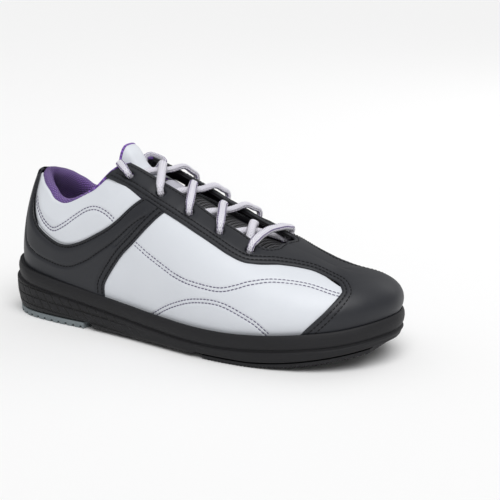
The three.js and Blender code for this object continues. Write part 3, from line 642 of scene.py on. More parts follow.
# Style lines: (place, height) pairs on the lateral side; the medial side mirrors them
lowerEdge = -0.035
styleLines = {
    "collar": [(0, 0.585), (0.064, 0.575), (0.13, 0.55), (0.184, 0.495), (0.216, 0.445), (0.254, 0.44),
        (0.302, 0.522), (0.331, 0.627), (0.352, 0.74), (0.37, 0.8)],
    "heelQuarterLow": [(0.075, 0.5), (0.11, 0.4), (0.13, 0.3), (0.18, 0.235), (0.224, 0.19),
        (0.262, 0.18), (0.299, 0.21), (0.345, 0.29), (0.38, 0.37), (0.43, 0.57)],
    "heelQuarterTop": [(0.075, 0.562), (0.11, 0.55), (0.13, 0.54), (0.184, 0.486), (0.216, 0.436),
        (0.254, 0.431), (0.302, 0.513), (0.32, 0.57), (0.331, 0.618), (0.345, 0.645)],
    "heelOverlayLow": [(0.012, lowerEdge), (0.1, lowerEdge), (0.18, lowerEdge), (0.26, lowerEdge),
        (0.339, lowerEdge), (0.35, 0.06), (0.385, 0.2), (0.4155, 0.307), (0.4435, 0.44), (0.467, 0.584)],
    "heelOverlayTop": [(0.012, 0.572), (0.07, 0.562), (0.105, 0.535), (0.127, 0.44), (0.148, 0.33),
        (0.2, 0.245), (0.262, 0.208), (0.33, 0.295), (0.376, 0.4), (0.419, 0.593)],
    "frontQuarterLow": [(0.325, lowerEdge), (0.4, lowerEdge), (0.475, lowerEdge), (0.55, lowerEdge),
        (0.62, lowerEdge), (0.68, lowerEdge), (0.73, lowerEdge), (0.777, lowerEdge)],
    "frontQuarterTop": [(0.445, 0.575), (0.49, 0.588), (0.54, 0.59), (0.6, 0.573), (0.655, 0.592),
        (0.72, 0.735), (0.8, 0.765), (0.872, 0.56)],
    "overlayOuter": [(0.331, 0.63), (0.418, 0.593), (0.468, 0.585), (0.517, 0.59), (0.566, 0.583),
        (0.603, 0.565), (0.633, 0.562), (0.652, 0.585), (0.675, 0.64), (0.698, 0.695), (0.74, 0.748),
        (0.791, 0.76), (0.851, 0.67), (0.864, 0.542), (0.855, 0.445), (0.813, 0.195), (0.768, lowerEdge)],
    "overlayInner": [(0.371, 0.815), (0.426, 0.815), (0.47, 0.828), (0.512, 0.838), (0.553, 0.826),
        (0.595, 0.834), (0.633, 0.815), (0.656, 0.8), (0.673, 0.87), (0.68, 1), (0.74, 1), (0.83, 1),
        (1, 1), (1, 0.78), (1, 0.55), (1, 0.25), (1, lowerEdge)],
    "frontWave": [(0.418, 0.3), (0.451, 0.268), (0.51, 0.232), (0.555, 0.237), (0.606, 0.268),
        (0.638, 0.335), (0.664, 0.415), (0.711, 0.522), (0.783, 0.555), (0.853, 0.475)],
    "frontArc": [(0.451, -0.02), (0.497, 0.06), (0.555, 0.138), (0.615, 0.168), (0.673, 0.1), (0.704, 0.0)],
    "heelWave": [(0.138, 0.415), (0.169, 0.355), (0.2, 0.295), (0.226, 0.273), (0.254, 0.31),
        (0.279, 0.365), (0.303, 0.413), (0.324, 0.43), (0.345, 0.418), (0.363, 0.388)],
    "heelRidge": [(0.1, 0.3), (0.133, 0.16), (0.175, 0.115), (0.216, 0.095), (0.263, 0.092), (0.3, 0.135),
        (0.338, 0.206), (0.38, 0.3), (0.431, 0.48)],
    "heelSeat": [(0.05, 0.34), (0.06, 0.16), (0.085, 0.06), (0.11, 0.0)],
}
eyelets = [(0.379, 0.703), (0.447, 0.71), (0.509, 0.712), (0.574, 0.718), (0.639, 0.703)]


def denseLine(points, count=400):
    return spline(points, np.linspace(0, 1, count))


lineOf = {name: denseLine(points) for name, points in styleLines.items()}
for name in ("overlayOuter", "overlayInner"):
    lineOf[name] = np.minimum(lineOf[name], 1)


def sided(line, side):
    return np.stack([side(line[:, 0]), line[:, 1]], 1)


def onSide(lines, side):
    return [sided(line, side) for line in lines]


def between(line, first, last):
    return line[(line[:, 0] >= first) & (line[:, 0] <= last)]


# Outer offset of a panel: flat, a quarter-round at its free edges, a soft crown inside them,
# and a valley where thread pulls it in
def panelOffset(spec, base, extra=None):
    distance = lineDistance(base, spec["free"]) if spec["free"] else np.full(base.shape[:-1], 99.0)
    if extra is not None:
        distance = np.minimum(distance, extra)
    x = np.clip(distance / spec["edgeRound"], 0, 1)
    d = spec["outer"] - spec["edgeDrop"] * (1 - np.sqrt(1 - (1 - x) ** 2))
    d = d + spec["crown"] * smoothStep(distance, 0, spec["crownWidth"])
    valley = np.zeros(d.shape)
    for seams, depth, width in spec["seams"]:
        valley = np.maximum(valley, depth * np.exp(-((lineDistance(base, seams) / width) ** 2)))
    return d - valley


# Panel grid between two lines; eyelets are cut as round holes through it
def panelGrid(places, spec, side, holes=(), holeRadius=2.7):
    u, t = side(places[..., 0]), places[..., 1].copy()
    inside = np.zeros(u.shape, bool)
    away = np.full(u.shape, 99.0)
    for holeU, holeT in holes:
        holeU = side(holeU)
        du, dt = lastTangents(np.array([holeU]), np.array([holeT]))
        r = np.linalg.norm((u - holeU)[..., None] * du[0] + (t - holeT)[..., None] * dt[0], axis=-1)
        hit = r < holeRadius
        grown = hit.copy()
        for a in (-1, 0, 1):
            for b in (-1, 0, 1):
                grown |= np.roll(np.roll(hit, a, 0), b, 1)
        rim = grown & ~hit
        scale = np.where(rim, holeRadius / r, 1)
        u, t = holeU + (u - holeU) * scale, holeT + (t - holeT) * scale
        inside |= hit
        away = np.minimum(away, np.where(rim, 0, np.abs(r - holeRadius)))
    base = lastPoint(u, t)
    d = panelOffset(spec, base, away)
    n = lastNormal(u, t)
    gone = inside[:-1, :-1] | inside[1:, :-1] | inside[:-1, 1:] | inside[1:, 1:]
    weave = np.stack([places[..., 0] * 560, places[..., 1] * 95, 0 * t], -1)
    return {
        "base": base, "outer": base + n * d[..., None], "inner": base + n * spec["inner"],
        "weave": weave, "flip": side is mirror, "keep": ~gone,
    }


# Even steps that crowd gently toward both ends
def crowded(count, amount=0.6):
    s = np.linspace(0, 1, count)
    return s - amount * np.sin(2 * math.pi * s) / (2 * math.pi)


def ruledPlaces(low, top, rows, columns):
    s = np.linspace(0, len(low) - 1, rows)
    pick = np.arange(len(low))
    a = np.stack([np.interp(s, pick, low[:, k]) for k in (0, 1)], -1)
    b = np.stack([np.interp(s, pick, top[:, k]) for k in (0, 1)], -1)
    w = crowded(columns)[None, :, None]
    return a[:, None] * (1 - w) + b[:, None] * w


def panelObject(name, grids, body, nodes, finish):
    points, faces, weave = sheetMesh(grids)
    return makeObject(name, points, faces, body, nodes, finishes[finish], weave)


# Stitches: short bowed capsules laid end to end along a line, ends dipping into the leather
stitchSize = {"length": 2.3, "gap": 0.35, "radius": 0.34, "bow": 0.2, "rings": 4, "sides": 5}
stitchRows = {"black": [], "plum": []}


def capsuleShape():
    rings, sides = stitchSize["rings"], stitchSize["sides"]
    x = np.cos(np.linspace(0, math.pi, rings + 2))[1:-1]
    r = (1 - x**4) ** 0.5 * stitchSize["radius"]
    angle = np.linspace(0, 2 * math.pi, sides, endpoint=False)
    half = stitchSize["length"] / 2
    ring = np.stack([
        np.repeat(x * half, sides), np.outer(r, np.cos(angle)).ravel(),
        np.outer(r, np.sin(angle)).ravel() - np.repeat(stitchSize["bow"] * x**2, sides)], 1)
    poles = np.array([[half, 0, -stitchSize["bow"]], [-half, 0, -stitchSize["bow"]]])
    i, j = np.meshgrid(np.arange(rings - 1), np.arange(sides), indexing="ij")
    n = (j + 1) % sides
    quads = np.stack([(i * sides + j), (i * sides + n), ((i + 1) * sides + n), ((i + 1) * sides + j)],
        -1).reshape(-1, 4)
    k = np.arange(sides)
    m = (k + 1) % sides
    total = rings * sides
    caps = np.concatenate([
        np.stack([np.full(sides, total), m, k], 1),
        np.stack([np.full(sides, total + 1), (rings - 1) * sides + k, (rings - 1) * sides + m], 1)])
    triangles = np.concatenate([quads[:, [0, 1, 2]], quads[:, [0, 2, 3]], caps])
    return np.concatenate([ring, poles]), triangles


def addStitches(thread, line, spec, side, lift=0.2):
    row = evenLine(sided(line, side), stitchSize["length"] + stitchSize["gap"])
    u, t = row[:, 0], row[:, 1]
    base = lastPoint(u, t)
    n = lastNormal(u, t)
    top = base + n * (panelOffset(spec, base) + lift)[:, None]
    along = np.gradient(top, axis=0)
    along /= np.linalg.norm(along, axis=1, keepdims=True)
    across = np.cross(n, along)
    across /= np.linalg.norm(across, axis=1, keepdims=True)
    stitchRows[thread].append((top, along, across, np.cross(along, across)))


def stitchObject(name, thread, finish, body="upper"):
    shape, triangles = capsuleShape()
    top, along, across, up = (np.concatenate([row[k] for row in stitchRows[thread]]) for k in range(4))
    axes = np.stack([along, across, up], 1)
    points = (top[:, None] + np.einsum("vk,nkc->nvc", shape, axes)).reshape(-1, 3)
    faces = (triangles[None] + (np.arange(len(top)) * len(shape))[:, None, None]).reshape(-1, 3)
    return makeObject(name, points, faces, body, (), finishes[finish], None, 80)


# Upper panels
panelLook = {
    "outer": -0.2, "inner": -1.5, "edgeRound": 1.0, "edgeDrop": 0.6, "crown": 0.25, "crownWidth": 8.0,
}
overlayLook = {
    "outer": 1.4, "inner": 0.2, "edgeRound": 1.3, "edgeDrop": 1.0, "crown": 0.45, "crownWidth": 6.0,
}
frontRows = [insetLine(lineOf[n], d) for n in ("frontWave", "frontArc") for d in (-1.15, 1.15)]
heelRows = [insetLine(lineOf["heelWave"], d) for d in (-1.05, 1.05)]
overlayEdge = lineOf["overlayOuter"]
throatEdge = between(lineOf["overlayInner"][:240], 0.37, 0.6812)
overlayRows = [insetLine(overlayEdge, d) for d in (2.6, 5.4)]
overlayRows = [row[(row[:, 1] > 0.01) & (row[:, 1] < 1) & (row[:, 0] > 0.34 + (row[:, 1] - 0.63) * 0.216)]
    for row in overlayRows]
throatRow = insetLine(throatEdge, -2.6)
throatRow = throatRow[throatRow[:, 1] < 0.999]
heelTopEdge = lineOf["heelOverlayTop"][30:]
armEdge = lineOf["heelOverlayLow"][178:]
armRows = [insetLine(armEdge, d) for d in (1.9, 5.2)]
armRows = [row[(row[:, 1] > 0.01)] for row in armRows]
heelTopRow = insetLine(heelTopEdge, -1.8)
ridgeRow = lineOf["heelRidge"]
armMid = 0.5 * (evenLine(between(ridgeRow, 0.372, 0.44), count=60)
    + evenLine(armRows[1][armRows[1][:, 1] > 0.24], count=60))

for sideName, side in (("lateral", same), ("medial", mirror)):
    frontSpec = {**panelLook, "free": [], "seams": [(onSide(frontRows, side), 0.45, 0.55)]}
    quarter = ruledPlaces(lineOf["frontQuarterLow"], lineOf["frontQuarterTop"], 220, 100)
    panelObject(sideName + "FrontQuarter", [panelGrid(quarter, frontSpec, side)], "upper",
        [sideName + "_front_quarter"], "white")
    for row in frontRows:
        addStitches("plum", row, frontSpec, side)
    heelSpec = {
        **panelLook, "crown": 1.3, "crownWidth": 16.0, "edgeDrop": 0.9, "edgeRound": 2.2,
        "free": onSide([lineOf["heelQuarterTop"], heelTopEdge], side),
        "seams": [(onSide(heelRows, side), 0.55, 0.7)],
    }
    quarter = ruledPlaces(lineOf["heelQuarterLow"], lineOf["heelQuarterTop"], 170, 74)
    panelObject(sideName + "HeelQuarter", [panelGrid(quarter, heelSpec, side)], "upper",
        [sideName + "_heel_quarter"], "white")
    for row in heelRows:
        addStitches("plum", row, heelSpec, side)
    armSpec = {
        **overlayLook, "free": onSide([heelTopEdge, armEdge], side), "crown": 0.7,
        "seams": [
            (onSide([heelTopRow, ridgeRow] + armRows, side), 1.0, 1.1),
            (onSide([armMid], side), 1.15, 1.3),
            (onSide([lineOf["heelSeat"]], side), 0.7, 1.1),
        ],
    }
    arm = ruledPlaces(lineOf["heelOverlayLow"], lineOf["heelOverlayTop"], 260, 80)
    panelObject(sideName + "HeelOverlay", [panelGrid(arm, armSpec, side)], "upper",
        [sideName + "_heel_overlay"], "black")
    for row in [heelTopRow, ridgeRow] + armRows:
        addStitches("black", row, armSpec, side)
print("quarters and heel overlays made")

vampGrids = []
for side in (same, mirror):
    vampSpec = {
        **overlayLook, "free": onSide([overlayEdge, throatEdge,
            np.array([[0.331, 0.63], [0.351, 0.722], [0.371, 0.815]])], side),
        "seams": [(onSide(overlayRows, side), 0.3, 0.7), (onSide([throatRow], side), 0.3, 0.7)],
    }
    vamp = ruledPlaces(lineOf["overlayOuter"], lineOf["overlayInner"], 400, 46)
    vampGrids.append(panelGrid(vamp, vampSpec, side, eyelets))
    for row in overlayRows + [throatRow]:
        addStitches("black", row, vampSpec, side)
panelObject("vampOverlay", vampGrids, "upper", ["vamp_overlay"], "black")
stitchObject("blackStitching", "black", "blackThread")
stitchObject("plumStitching", "plum", "plumThread")
print("vamp overlay and stitching made")

backstaySpec = {"outer": 2.8, "inner": 1.7, "edgeRound": 1.2, "edgeDrop": 0.9, "crown": 0.5,
    "crownWidth": 6.0, "seams": []}
stayLow = spline([(-0.03, lowerEdge), (0, lowerEdge), (0.03, lowerEdge)], np.linspace(0, 1, 60))
stayTop = spline([(-0.045, 0.562), (0, 0.574), (0.045, 0.562)], np.linspace(0, 1, 60))
stay = ruledPlaces(stayLow, stayTop, 60, 120)
backstaySpec["free"] = [np.concatenate([stay[0], stay[:, -1], stay[::-1][0]])]
panelObject("backstayStrip", [panelGrid(stay, backstaySpec, same)], "upper", ["backstay"],
    "black")

# Padded collar: a strip section with its outer and inner faces paired point by point
collarLook = {
    "end": 0.328, "rows": 260,
    "skin": [(8, -1.7), (0, -1.7), (-1.7, -2.4), (-2.7, -4.7), (-1.9, -7.2), (1.4, -8.9), (8, -8.8),
        (17, -6.7), (30, -4.5), (60, -4.2), (120, -4.2)],
    "core": [(8, -2.4), (0.4, -2.4), (-0.9, -3), (-1.7, -4.7), (-1.1, -6.4), (1.8, -8), (8, -7.9),
        (17, -5.9), (30, -3.7), (60, -3.5), (120, -3.5)],
    "columns": 90, "pucker": 0.22,
}


def collarHeight(u):
    line = lineOf["collar"]
    return np.interp(np.abs(u), line[:, 0], line[:, 1])


# Points a distance below the collar edge and at an offset from the last, for each place
def belowEdge(u, h, d):
    edge = collarHeight(u)
    unit = np.linalg.norm(lastPoint(u, edge) - lastPoint(u, edge - 0.1), axis=-1) / 0.1
    return at(u, np.maximum(edge - h / unit, lowerEdge), d)


def collarGrid(look):
    u = np.linspace(-look["end"], look["end"], look["rows"])[:, None]
    share = np.linspace(0, 1, look["columns"]) ** 1.15
    skin, core = spline(look["skin"], share), spline(look["core"], share)
    u2, h, d = np.broadcast_arrays(u, skin[None, :, 0], skin[None, :, 1])
    roll = np.exp(-(((h - 3) / 9) ** 2))
    pucker = look["pucker"] * roll * (np.sin(u2 * 95) * np.sin(u2 * 41 + 1.3) + 0.5
        * np.sin(u2 * 173 + h * 0.3))
    outer = belowEdge(u2, h, d - pucker * 0.5)
    u3, h3, d3 = np.broadcast_arrays(u, core[None, :, 0], core[None, :, 1])
    inner = belowEdge(u3, h3, d3)
    length = runLength(skin)
    weave = np.stack([u2 * 520, np.broadcast_to(length, u2.shape), 0 * u2], -1)
    return {"base": outer, "outer": outer, "inner": inner, "weave": weave, "flip": False}


points, faces, weave = sheetMesh([collarGrid(collarLook)])
collar = makeObject("collarLining", points, faces, "upper", ["collar_lining"],
    finishes["purple"], weave, 60)

bindingLook = {
    "route": [(0.297, 0.511, -1.5), (0.306, 0.532, -1.2), (0.317, 0.566, -0.9), (0.3285, 0.62, -0.2),
        (0.34, 0.685, 0.3), (0.353, 0.75, 0.3), (0.3695, 0.815, 0.1)],
    "diameter": 1.7,
}
for sideName, side, sign in (("lateral", same, 1), ("medial", mirror, -1)):
    route = np.array(bindingLook["route"])
    path = curvePath(at(side(route[:, 0]), route[:, 1], route[:, 2]), 0.6)
    tubeObject(sideName + "Binding", path, carriedSide(path, (0, sign, 0.3)), bindingLook["diameter"],
        bindingLook["diameter"], "upper", [], finishes["purple"], 12)
print("collar made")

# Tongue
tonguePlan = {"end": 0.7, "lift": 10.5, "sewn": 4}


def tongueDepth(u, t):
    rise = smoothStep(0.392 - u, 0, 0.054)
    middle = smoothStep(t, 0.79 - 0.01 * rise, 0.95)
    return tonguePlan["lift"] * rise * middle + tonguePlan["sewn"] * smoothStep(u, 0.655, 0.69)


# Tongue layer: rows from the free end toward the toe, columns across the foot
def tongueGrid(outer, inner, start, end, edgeAt, rows, columns, rounding=0.0, crown=0.0, crownWidth=8.0):
    share = np.linspace(0, 1, rows)[:, None]
    across = np.linspace(-1, 1, 2 * columns + 1)[None]
    across = np.sin(across * math.pi / 2 * 0.92) / math.sin(math.pi / 2 * 0.92)
    t = 1 - np.abs(across) * (1 - edgeAt)
    stop = end - 0.06 * ((1 - t) / 0.38) * (end == tonguePlan["end"])
    place = start + (stop - start) * share
    t = np.broadcast_to(t, place.shape)
    u = np.where(across > 0, mirror(place), place)
    lift = tongueDepth(place, t)
    middle = at(u, t, lift + (outer + inner) / 2)
    distance = edgeDistance(middle, ["start", "end", "low", "top"])
    d = np.full(place.shape, 0.0)
    if rounding:
        x = np.clip(distance / rounding, 0, 1)
        d = (outer - inner) * 0.45 * (1 - np.sqrt(1 - (1 - x) ** 2))
    swell = crown * smoothStep(distance, 0, crownWidth)
    step = np.linalg.norm(np.diff(middle, axis=0), axis=2)
    run = np.concatenate([np.zeros((1, place.shape[1])), np.cumsum(step, 0)])
    width = np.linalg.norm(np.diff(middle, axis=1), axis=2)
    side = np.concatenate([np.zeros((place.shape[0], 1)), np.cumsum(width, 1)], 1)
    side = side - side[:, columns:columns + 1]
    return {
        "base": middle, "outer": at(u, t, outer - d + swell + lift), "inner": at(u, t, inner + d + lift),
        "weave": np.stack([run, side, 0 * run], -1), "flip": True,
    }


def tongueObject(name, grids, nodes, finish):
    points, faces, weave = sheetMesh(grids)
    made = makeObject(name, points, faces, "tongue", nodes, finishes[finish], weave, 50)
    return made


tongueObject("tongueBody", [tongueGrid(-7.5, -12.2, 0.424, 0.7, 0.62, 110, 34, 3.5, 0.7, 12.0)],
    ["tongue_mesh", "tongue_foam"], "mesh")
liningGrids = [tongueGrid(-12.35, -13.2, 0.339, 0.699, 0.625, 90, 26, 0.6)]
topGrid = tongueGrid(-8.0, -12.3, 0.336, 0.4235, 0.612, 40, 40, 3.6, 0.5, 9.0)
tongueObject("tongueLining", liningGrids, ["tongue_lining"], "purple")
tongueObject("tongueTopPad", [topGrid], [], "purple")
tongueObject("tonguePatch", [tongueGrid(-6.75, -7.5, 0.3385, 0.4225, 0.79, 44, 30, 1.2, 0.35, 8.0)],
    ["tongue_patch"], "white")
tongueObject("laceKeeperUpper", [tongueGrid(-6.5, -7.5, 0.433, 0.459, 0.88, 14, 30, 0.7)],
    ["lace_keeper_upper"], "web")
tongueObject("laceKeeperLower", [tongueGrid(-6.5, -7.5, 0.526, 0.548, 0.9, 12, 26, 0.7)],
    ["lace_keeper_lower"], "web")

across = np.linspace(-1, 1, 160)
rimT = 1 - np.abs(across) * (1 - 0.79)
rimU = np.full(across.shape, 0.3375)
rimPath = at(np.where(across > 0, mirror(rimU), rimU), rimT, -7.3 + tongueDepth(rimU, rimT))
rimPath = curvePath(rimPath[::6], 0.7)
tubeObject("tongueBinding", rimPath, carriedSide(rimPath, (1, 0, 0)), 2.0, 2.0, "tongue", [],
    finishes["purple"], 12)
print("tongue made")

# Lace: the same route as the frame's own lace
laceLook = {"rest": 4.5, "over": 1.0, "under": -3.9, "width": 5.4, "thickness": 3.5, "atHole": 4.2,
    "ribDepth": 0.055, "ribPitch": 2.1}


def instepPoint(u, across, d, side):
    t = np.where(across <= 1, across, 2 - across)
    onStart = across <= 1
    lateral = onStart if side > 0 else ~onStart
    place = np.where(lateral, u, 2 - u)
    return at(place, t, d), lastNormal(place, t)


def laceRun(start, end, startOver, endOver, middle, side):
    a, b = (1 if startOver else -1), (1 if endOver else -1)
    rest = laceLook["rest"]
    steps = np.array([
        (0, 0), (0, a * 1.4), (0.012, a * 3.1), (0.05, a * (rest + 0.2)), (0.12, a * rest), (0.225, a * rest),
        (0.36, (a * rest + middle * 2) / 3), (0.5, middle), (0.64, (b * rest + middle * 2) / 3),
        (0.775, b * rest),
        (0.88, b * rest), (0.95, b * (rest + 0.2)), (0.988, b * 3.1), (1, b * 1.4),
    ])
    w, d = steps[:, 0], steps[:, 1]
    u = start[0] + (end[0] - start[0]) * w
    across = start[1] + (2 - end[1] - start[1]) * w
    return instepPoint(u, across, d, side)


def halfLace(side, lifts):
    order = eyelets[::-1]
    points, normals = [], []
    current = side
    for i in range(len(order) - 1):
        p, n = laceRun(order[i], order[i + 1], i > 0, False, lifts[i], current)
        points.append(p)
        normals.append(n)
        current = -current
    u, t = order[-1]
    p, n = instepPoint(np.full(3, u), np.full(3, t), np.array([0, 1.4, 2.2]), current)
    return np.concatenate(points + [p]), np.concatenate(normals + [n])


over, under = laceLook["over"], laceLook["under"]
barPoints, barNormals = laceRun(eyelets[-1], eyelets[-1], True, True, laceLook["rest"] - 1, 1)
firstPoints, firstNormals = halfLace(1, [over, under, over, under])
lastPoints, lastNormals = halfLace(-1, [under, over, under, over])
lacePoints = np.concatenate([firstPoints[::-1], barPoints[1:-1], lastPoints])
laceNormals = np.concatenate([firstNormals[::-1], barNormals[1:-1], lastNormals])
lacePath = curvePath(lacePoints, 0.42)


# Width direction along a lace: across both path and surface, made steady through the holes
def laceSides(path, points, normals):
    nearest = np.array([((points - p) ** 2).sum(1).argmin() for p in path])
    tangent = np.gradient(path, axis=0)
    tangent /= np.linalg.norm(tangent, axis=1, keepdims=True)
    side = np.cross(normals[nearest], tangent)
    for k in range(1, len(side)):
        if side[k] @ side[k - 1] < 0:
            side[k] = -side[k]
    kernel = np.hanning(25)
    side = np.stack([np.convolve(side[:, a], kernel, "same") for a in range(3)], -1)
    return side / np.linalg.norm(side, axis=1, keepdims=True)


# Narrower where the lace passes a hole
def laceWidth(path, sides):
    holes = np.array([at(np.array(side(u)), np.array(t), np.array(0.8)) for u, t in eyelets
        for side in sides])
    away = np.sqrt(((path[:, None] - holes[None]) ** 2).sum(2).min(1))
    return laceLook["atHole"] + (laceLook["width"] - laceLook["atHole"]) * smoothStep(away, 2.5, 7.0)


# Woven ribs: the section swells and shrinks by a small share every rib pitch
def ribbed(path, size):
    run = runLength(path)
    return size * (1 + laceLook["ribDepth"] * np.cos(2 * math.pi * run / laceLook["ribPitch"]))


laceTop = laceSides(lacePath, lacePoints, laceNormals)
tubeObject("laceCord", lacePath, laceTop, ribbed(lacePath, laceWidth(lacePath, (same, mirror))),
    ribbed(lacePath, laceLook["thickness"]), "upper", ["lace"], finishes["lace"], 20)

# Loose ends: out of the top eyelets, over the eyestay edge and down inside the shoe
tailRoute = np.array([
    (0.379, 0.703, 2.7), (0.379, 0.703, 3.1), (0.3776, 0.7065, 4.5), (0.374, 0.715, 5.2),
    (0.3675, 0.7285, 4.8),
    (0.3616, 0.741, 4.3), (0.354, 0.757, 3.2), (0.3495, 0.767, 0), (0.352, 0.757, -3.6), (0.351, 0.735, -4.8),
    (0.35, 0.7, -5.2), (0.35, 0.64, -5.4), (0.35, 0.57, -5.9), (0.352, 0.48, -6.1), (0.355, 0.38, -6.2),
    (0.36, 0.28, -6.6), (0.37, 0.2, -8), (0.385, 0.15, -10.5), (0.41, 0.12, -12.5), (0.44, 0.11, -13.5),
    (0.47, 0.11, -14), (0.495, 0.11, -14.5), (0.515, 0.11, -15), (0.535, 0.11, -15.5),
])
tailLook = {"cut": 22, "width": 5.0, "thickness": 3.6, "tipStart": 3.0, "tipEnd": 2.2}
for sideName, side, sign in (("lateral", same, 1), ("medial", mirror, -1)):
    spots = at(side(tailRoute[:, 0]), tailRoute[:, 1], tailRoute[:, 2])
    normals = lastNormal(side(tailRoute[:, 0]), tailRoute[:, 1])
    cut = tailLook["cut"]
    path = curvePath(spots[:cut], 0.42)
    tipPoints = spots[cut - 1:]
    tipPoints = np.concatenate([[tipPoints[0] + (tipPoints[1] - tipPoints[0]) * 0.08], tipPoints[1:]])
    tip = curvePath(tipPoints, 0.4)
    taper = np.linspace(tailLook["tipStart"], tailLook["tipEnd"], len(tip))
    aglet = tubeObject(sideName + "Aglet", tip, carriedSide(tip, (0, sign, 0.2)), taper, taper, "upper",
        ["aglet_" + sideName], finishes["tip"], 16)
    away = np.linalg.norm(path - path[0], axis=1)
    width = laceLook["atHole"] + (tailLook["width"] - laceLook["atHole"]) * smoothStep(away, 2.0, 6.0)
    tail = tubeObject(sideName + "LaceTail", path, laceSides(path, spots[:cut], normals[:cut]),
        ribbed(path, width), ribbed(path, tailLook["thickness"]), "upper", ["lace_tail_" + sideName],
        finishes["lace"], 20)
print("lace made")

# Sole unit
padStack = {"web": 0.7, "heel": 4, "ball": 2.6, "gap": 0.3, "heelEnd": 0.3, "ballStart": 0.568,
    "ballEnd": 0.93}
heelSeat = padStack["heel"] + 2 * padStack["web"] + 3 * padStack["gap"]
ballSeat = padStack["ball"] + 2 * padStack["web"] + 3 * padStack["gap"]
archClearance = 1.8


# Underside height: the heel seat, the arch between short ramps, then the ball seat rising with the
# ground line
def cupBottom(u):
    place = np.where(u > 1, 2 - u, u)
    toArch = smoothStep(place, padStack["heelEnd"] + 0.012, padStack["heelEnd"] + 0.026)
    toBall = smoothStep(place, padStack["ballStart"] - 0.026, padStack["ballStart"] - 0.012)
    low = heelSeat + (archClearance - heelSeat) * toArch
    return low + (ballSeat + groundRise(u) - archClearance) * toBall


def lipDrop(u):
    place = np.where(u > 1, 2 - u, u)
    arch = smoothStep(place, padStack["heelEnd"] + 0.012, padStack["heelEnd"] + 0.026) - smoothStep(place,
        padStack["ballStart"] - 0.026, padStack["ballStart"] - 0.012)
    return (2 * padStack["web"] + padStack["gap"]) * (1 - arch)


cupLook = {
    "around": 900, "perRun": 7, "smooth": 3, "guardRise": 0.35,
    "heelRimIn": 1.3, "heelWallOut": 1.0, "heelReach": (0.1, 0.18), "deepestRim": -2.0,
}
# (offset, height above a named level) down the section, from the underside to the inner floor
cupSection = [
    (-6.2, "bottom", 0), (-5.2, "bottom", 0), (-5.0, "lip", 0), (-3.2, "lip", 0.1), (-1.9, "lip", 0.7),
    (-1.1, "bottom", 2.2), (-0.9, "wall", 0.45), (-0.7, "top", -12.2), (-0.85, "top", -11.2),
    (-1.9, "top", -10.5),
    (-1.7, "top", -9.7), (-0.5, "top", -8.8), (0.0, "top", -7.2), (0.25, "top", -5.0), (0.1, "top", -2.8),
    (-0.5, "top", -1.0), (-1.3, "top", 0.0), (-2.0, "top", -0.3), (-2.6, "hug", -0.9),
    (-2.8, "hug", -2.2), (-2.3, "top", -4), (-2.4, "floor", 2.5), (-2.6, "floor", 0.4), (-3.5, "floor", 0),
]


def levelHeight(u, name, share):
    bottom, top = cupBottom(u), rimTop(u)
    if name == "bottom":
        return bottom + share
    if name == "lip":
        return bottom - lipDrop(u) + share
    if name == "wall":
        return bottom + 2.4 + (top - 12 - bottom - 2.4) * share
    if name in ("top", "hug"):
        return top + share
    return floorTop(u) + share


# Offset of a section point; the inner lip of the rim reaches in to the upper
def levelOffset(u, name, offset):
    if name != "hug":
        return np.full(u.shape, offset)
    return np.minimum(offset + 0.6, -0.1 - around(u, stations["inset"]))


# Cuts each run between section points into steps, then evens the corners out
def denseSection(control, perRun, passes):
    runs = len(control) - 1
    s = np.linspace(0, runs, runs * perRun + 1)
    i = np.minimum(s.astype(int), runs - 1)
    f = (s - i)[:, None, None]
    rows = control[i] * (1 - f) + control[i + 1] * f
    for _ in range(passes):
        rows[1:-1] = 0.25 * rows[:-2] + 0.5 * rows[1:-1] + 0.25 * rows[2:]
    return rows


u = np.linspace(0, 2, cupLook["around"], endpoint=False)
control = np.stack([np.stack([levelOffset(u, name, offset), levelHeight(u, name, share)], -1) for offset,
    name, share in cupSection])
rows = denseSection(control, cupLook["perRun"], cupLook["smooth"])
uu = np.broadcast_to(u, rows.shape[:2])
offset, z = rows[..., 0], rows[..., 1]
wallRow = np.arange(rows.shape[0])[:, None] / cupLook["perRun"]
onWall = smoothStep(wallRow, 4.3, 5.2) * (1 - smoothStep(wallRow, 7.6, 8.4))
place = np.where(uu > 1, 2 - uu, uu)
guardLine = np.interp(place, [0.74, 0.788, 0.828, 0.902, 1.0], [0.0, 10.4, 20.3, 23.7, 25.2])
# Round the heel the rim is set in and the wall below it swells out
atHeel = 1 - smoothStep(place, *cupLook["heelReach"])
onRim = smoothStep(wallRow, 9.5, 11.5) * (1 - smoothStep(wallRow, 16.2, 17.0))
swell = smoothStep(wallRow, 4.8, 6.2) * (1 - smoothStep(wallRow, 8.0, 8.8))
setIn = np.maximum(offset - cupLook["heelRimIn"] * onRim, np.minimum(offset, cupLook["deepestRim"]))
offset = offset + (setIn - offset) * atHeel + cupLook["heelWallOut"] * swell * atHeel
offset = offset + cupLook["guardRise"] * onWall * smoothStep(guardLine - z, -0.35,
    0.35) * smoothStep(place, 0.77, 0.79)
edge = edgePoint(u)
arc = runLength(edge)
arc = np.minimum(arc, arc[-1] + 0.8 - arc)
heelFade = 1 - smoothStep(place, 0.3, 0.46)
weave = np.stack([np.broadcast_to(arc, z.shape), z, onWall * heelFade], -1)
ring = outlinePoint(uu, offset, z)
points, faces = ringMesh(ring)
makeObject("outsoleCup", points, faces, "upper", ["outsole_cup"], finishes["cup"],
    weave.reshape(-1, 3), 45)
print("outsole made")

# Footbed: a shallow dish with a soft edge
bedControl = [(-11, "foot", 3.5), (-6, "edge", 0), (-3.8, "edge", 0), (-3.5, "edge", 0.5),
    (-3.9, "edge", 0.9), (-5.5, "edge", 0.85), (-8.0, "mid", 0.0), (-11.4, "foot", 5.0), (-24, "foot", 4.9)]


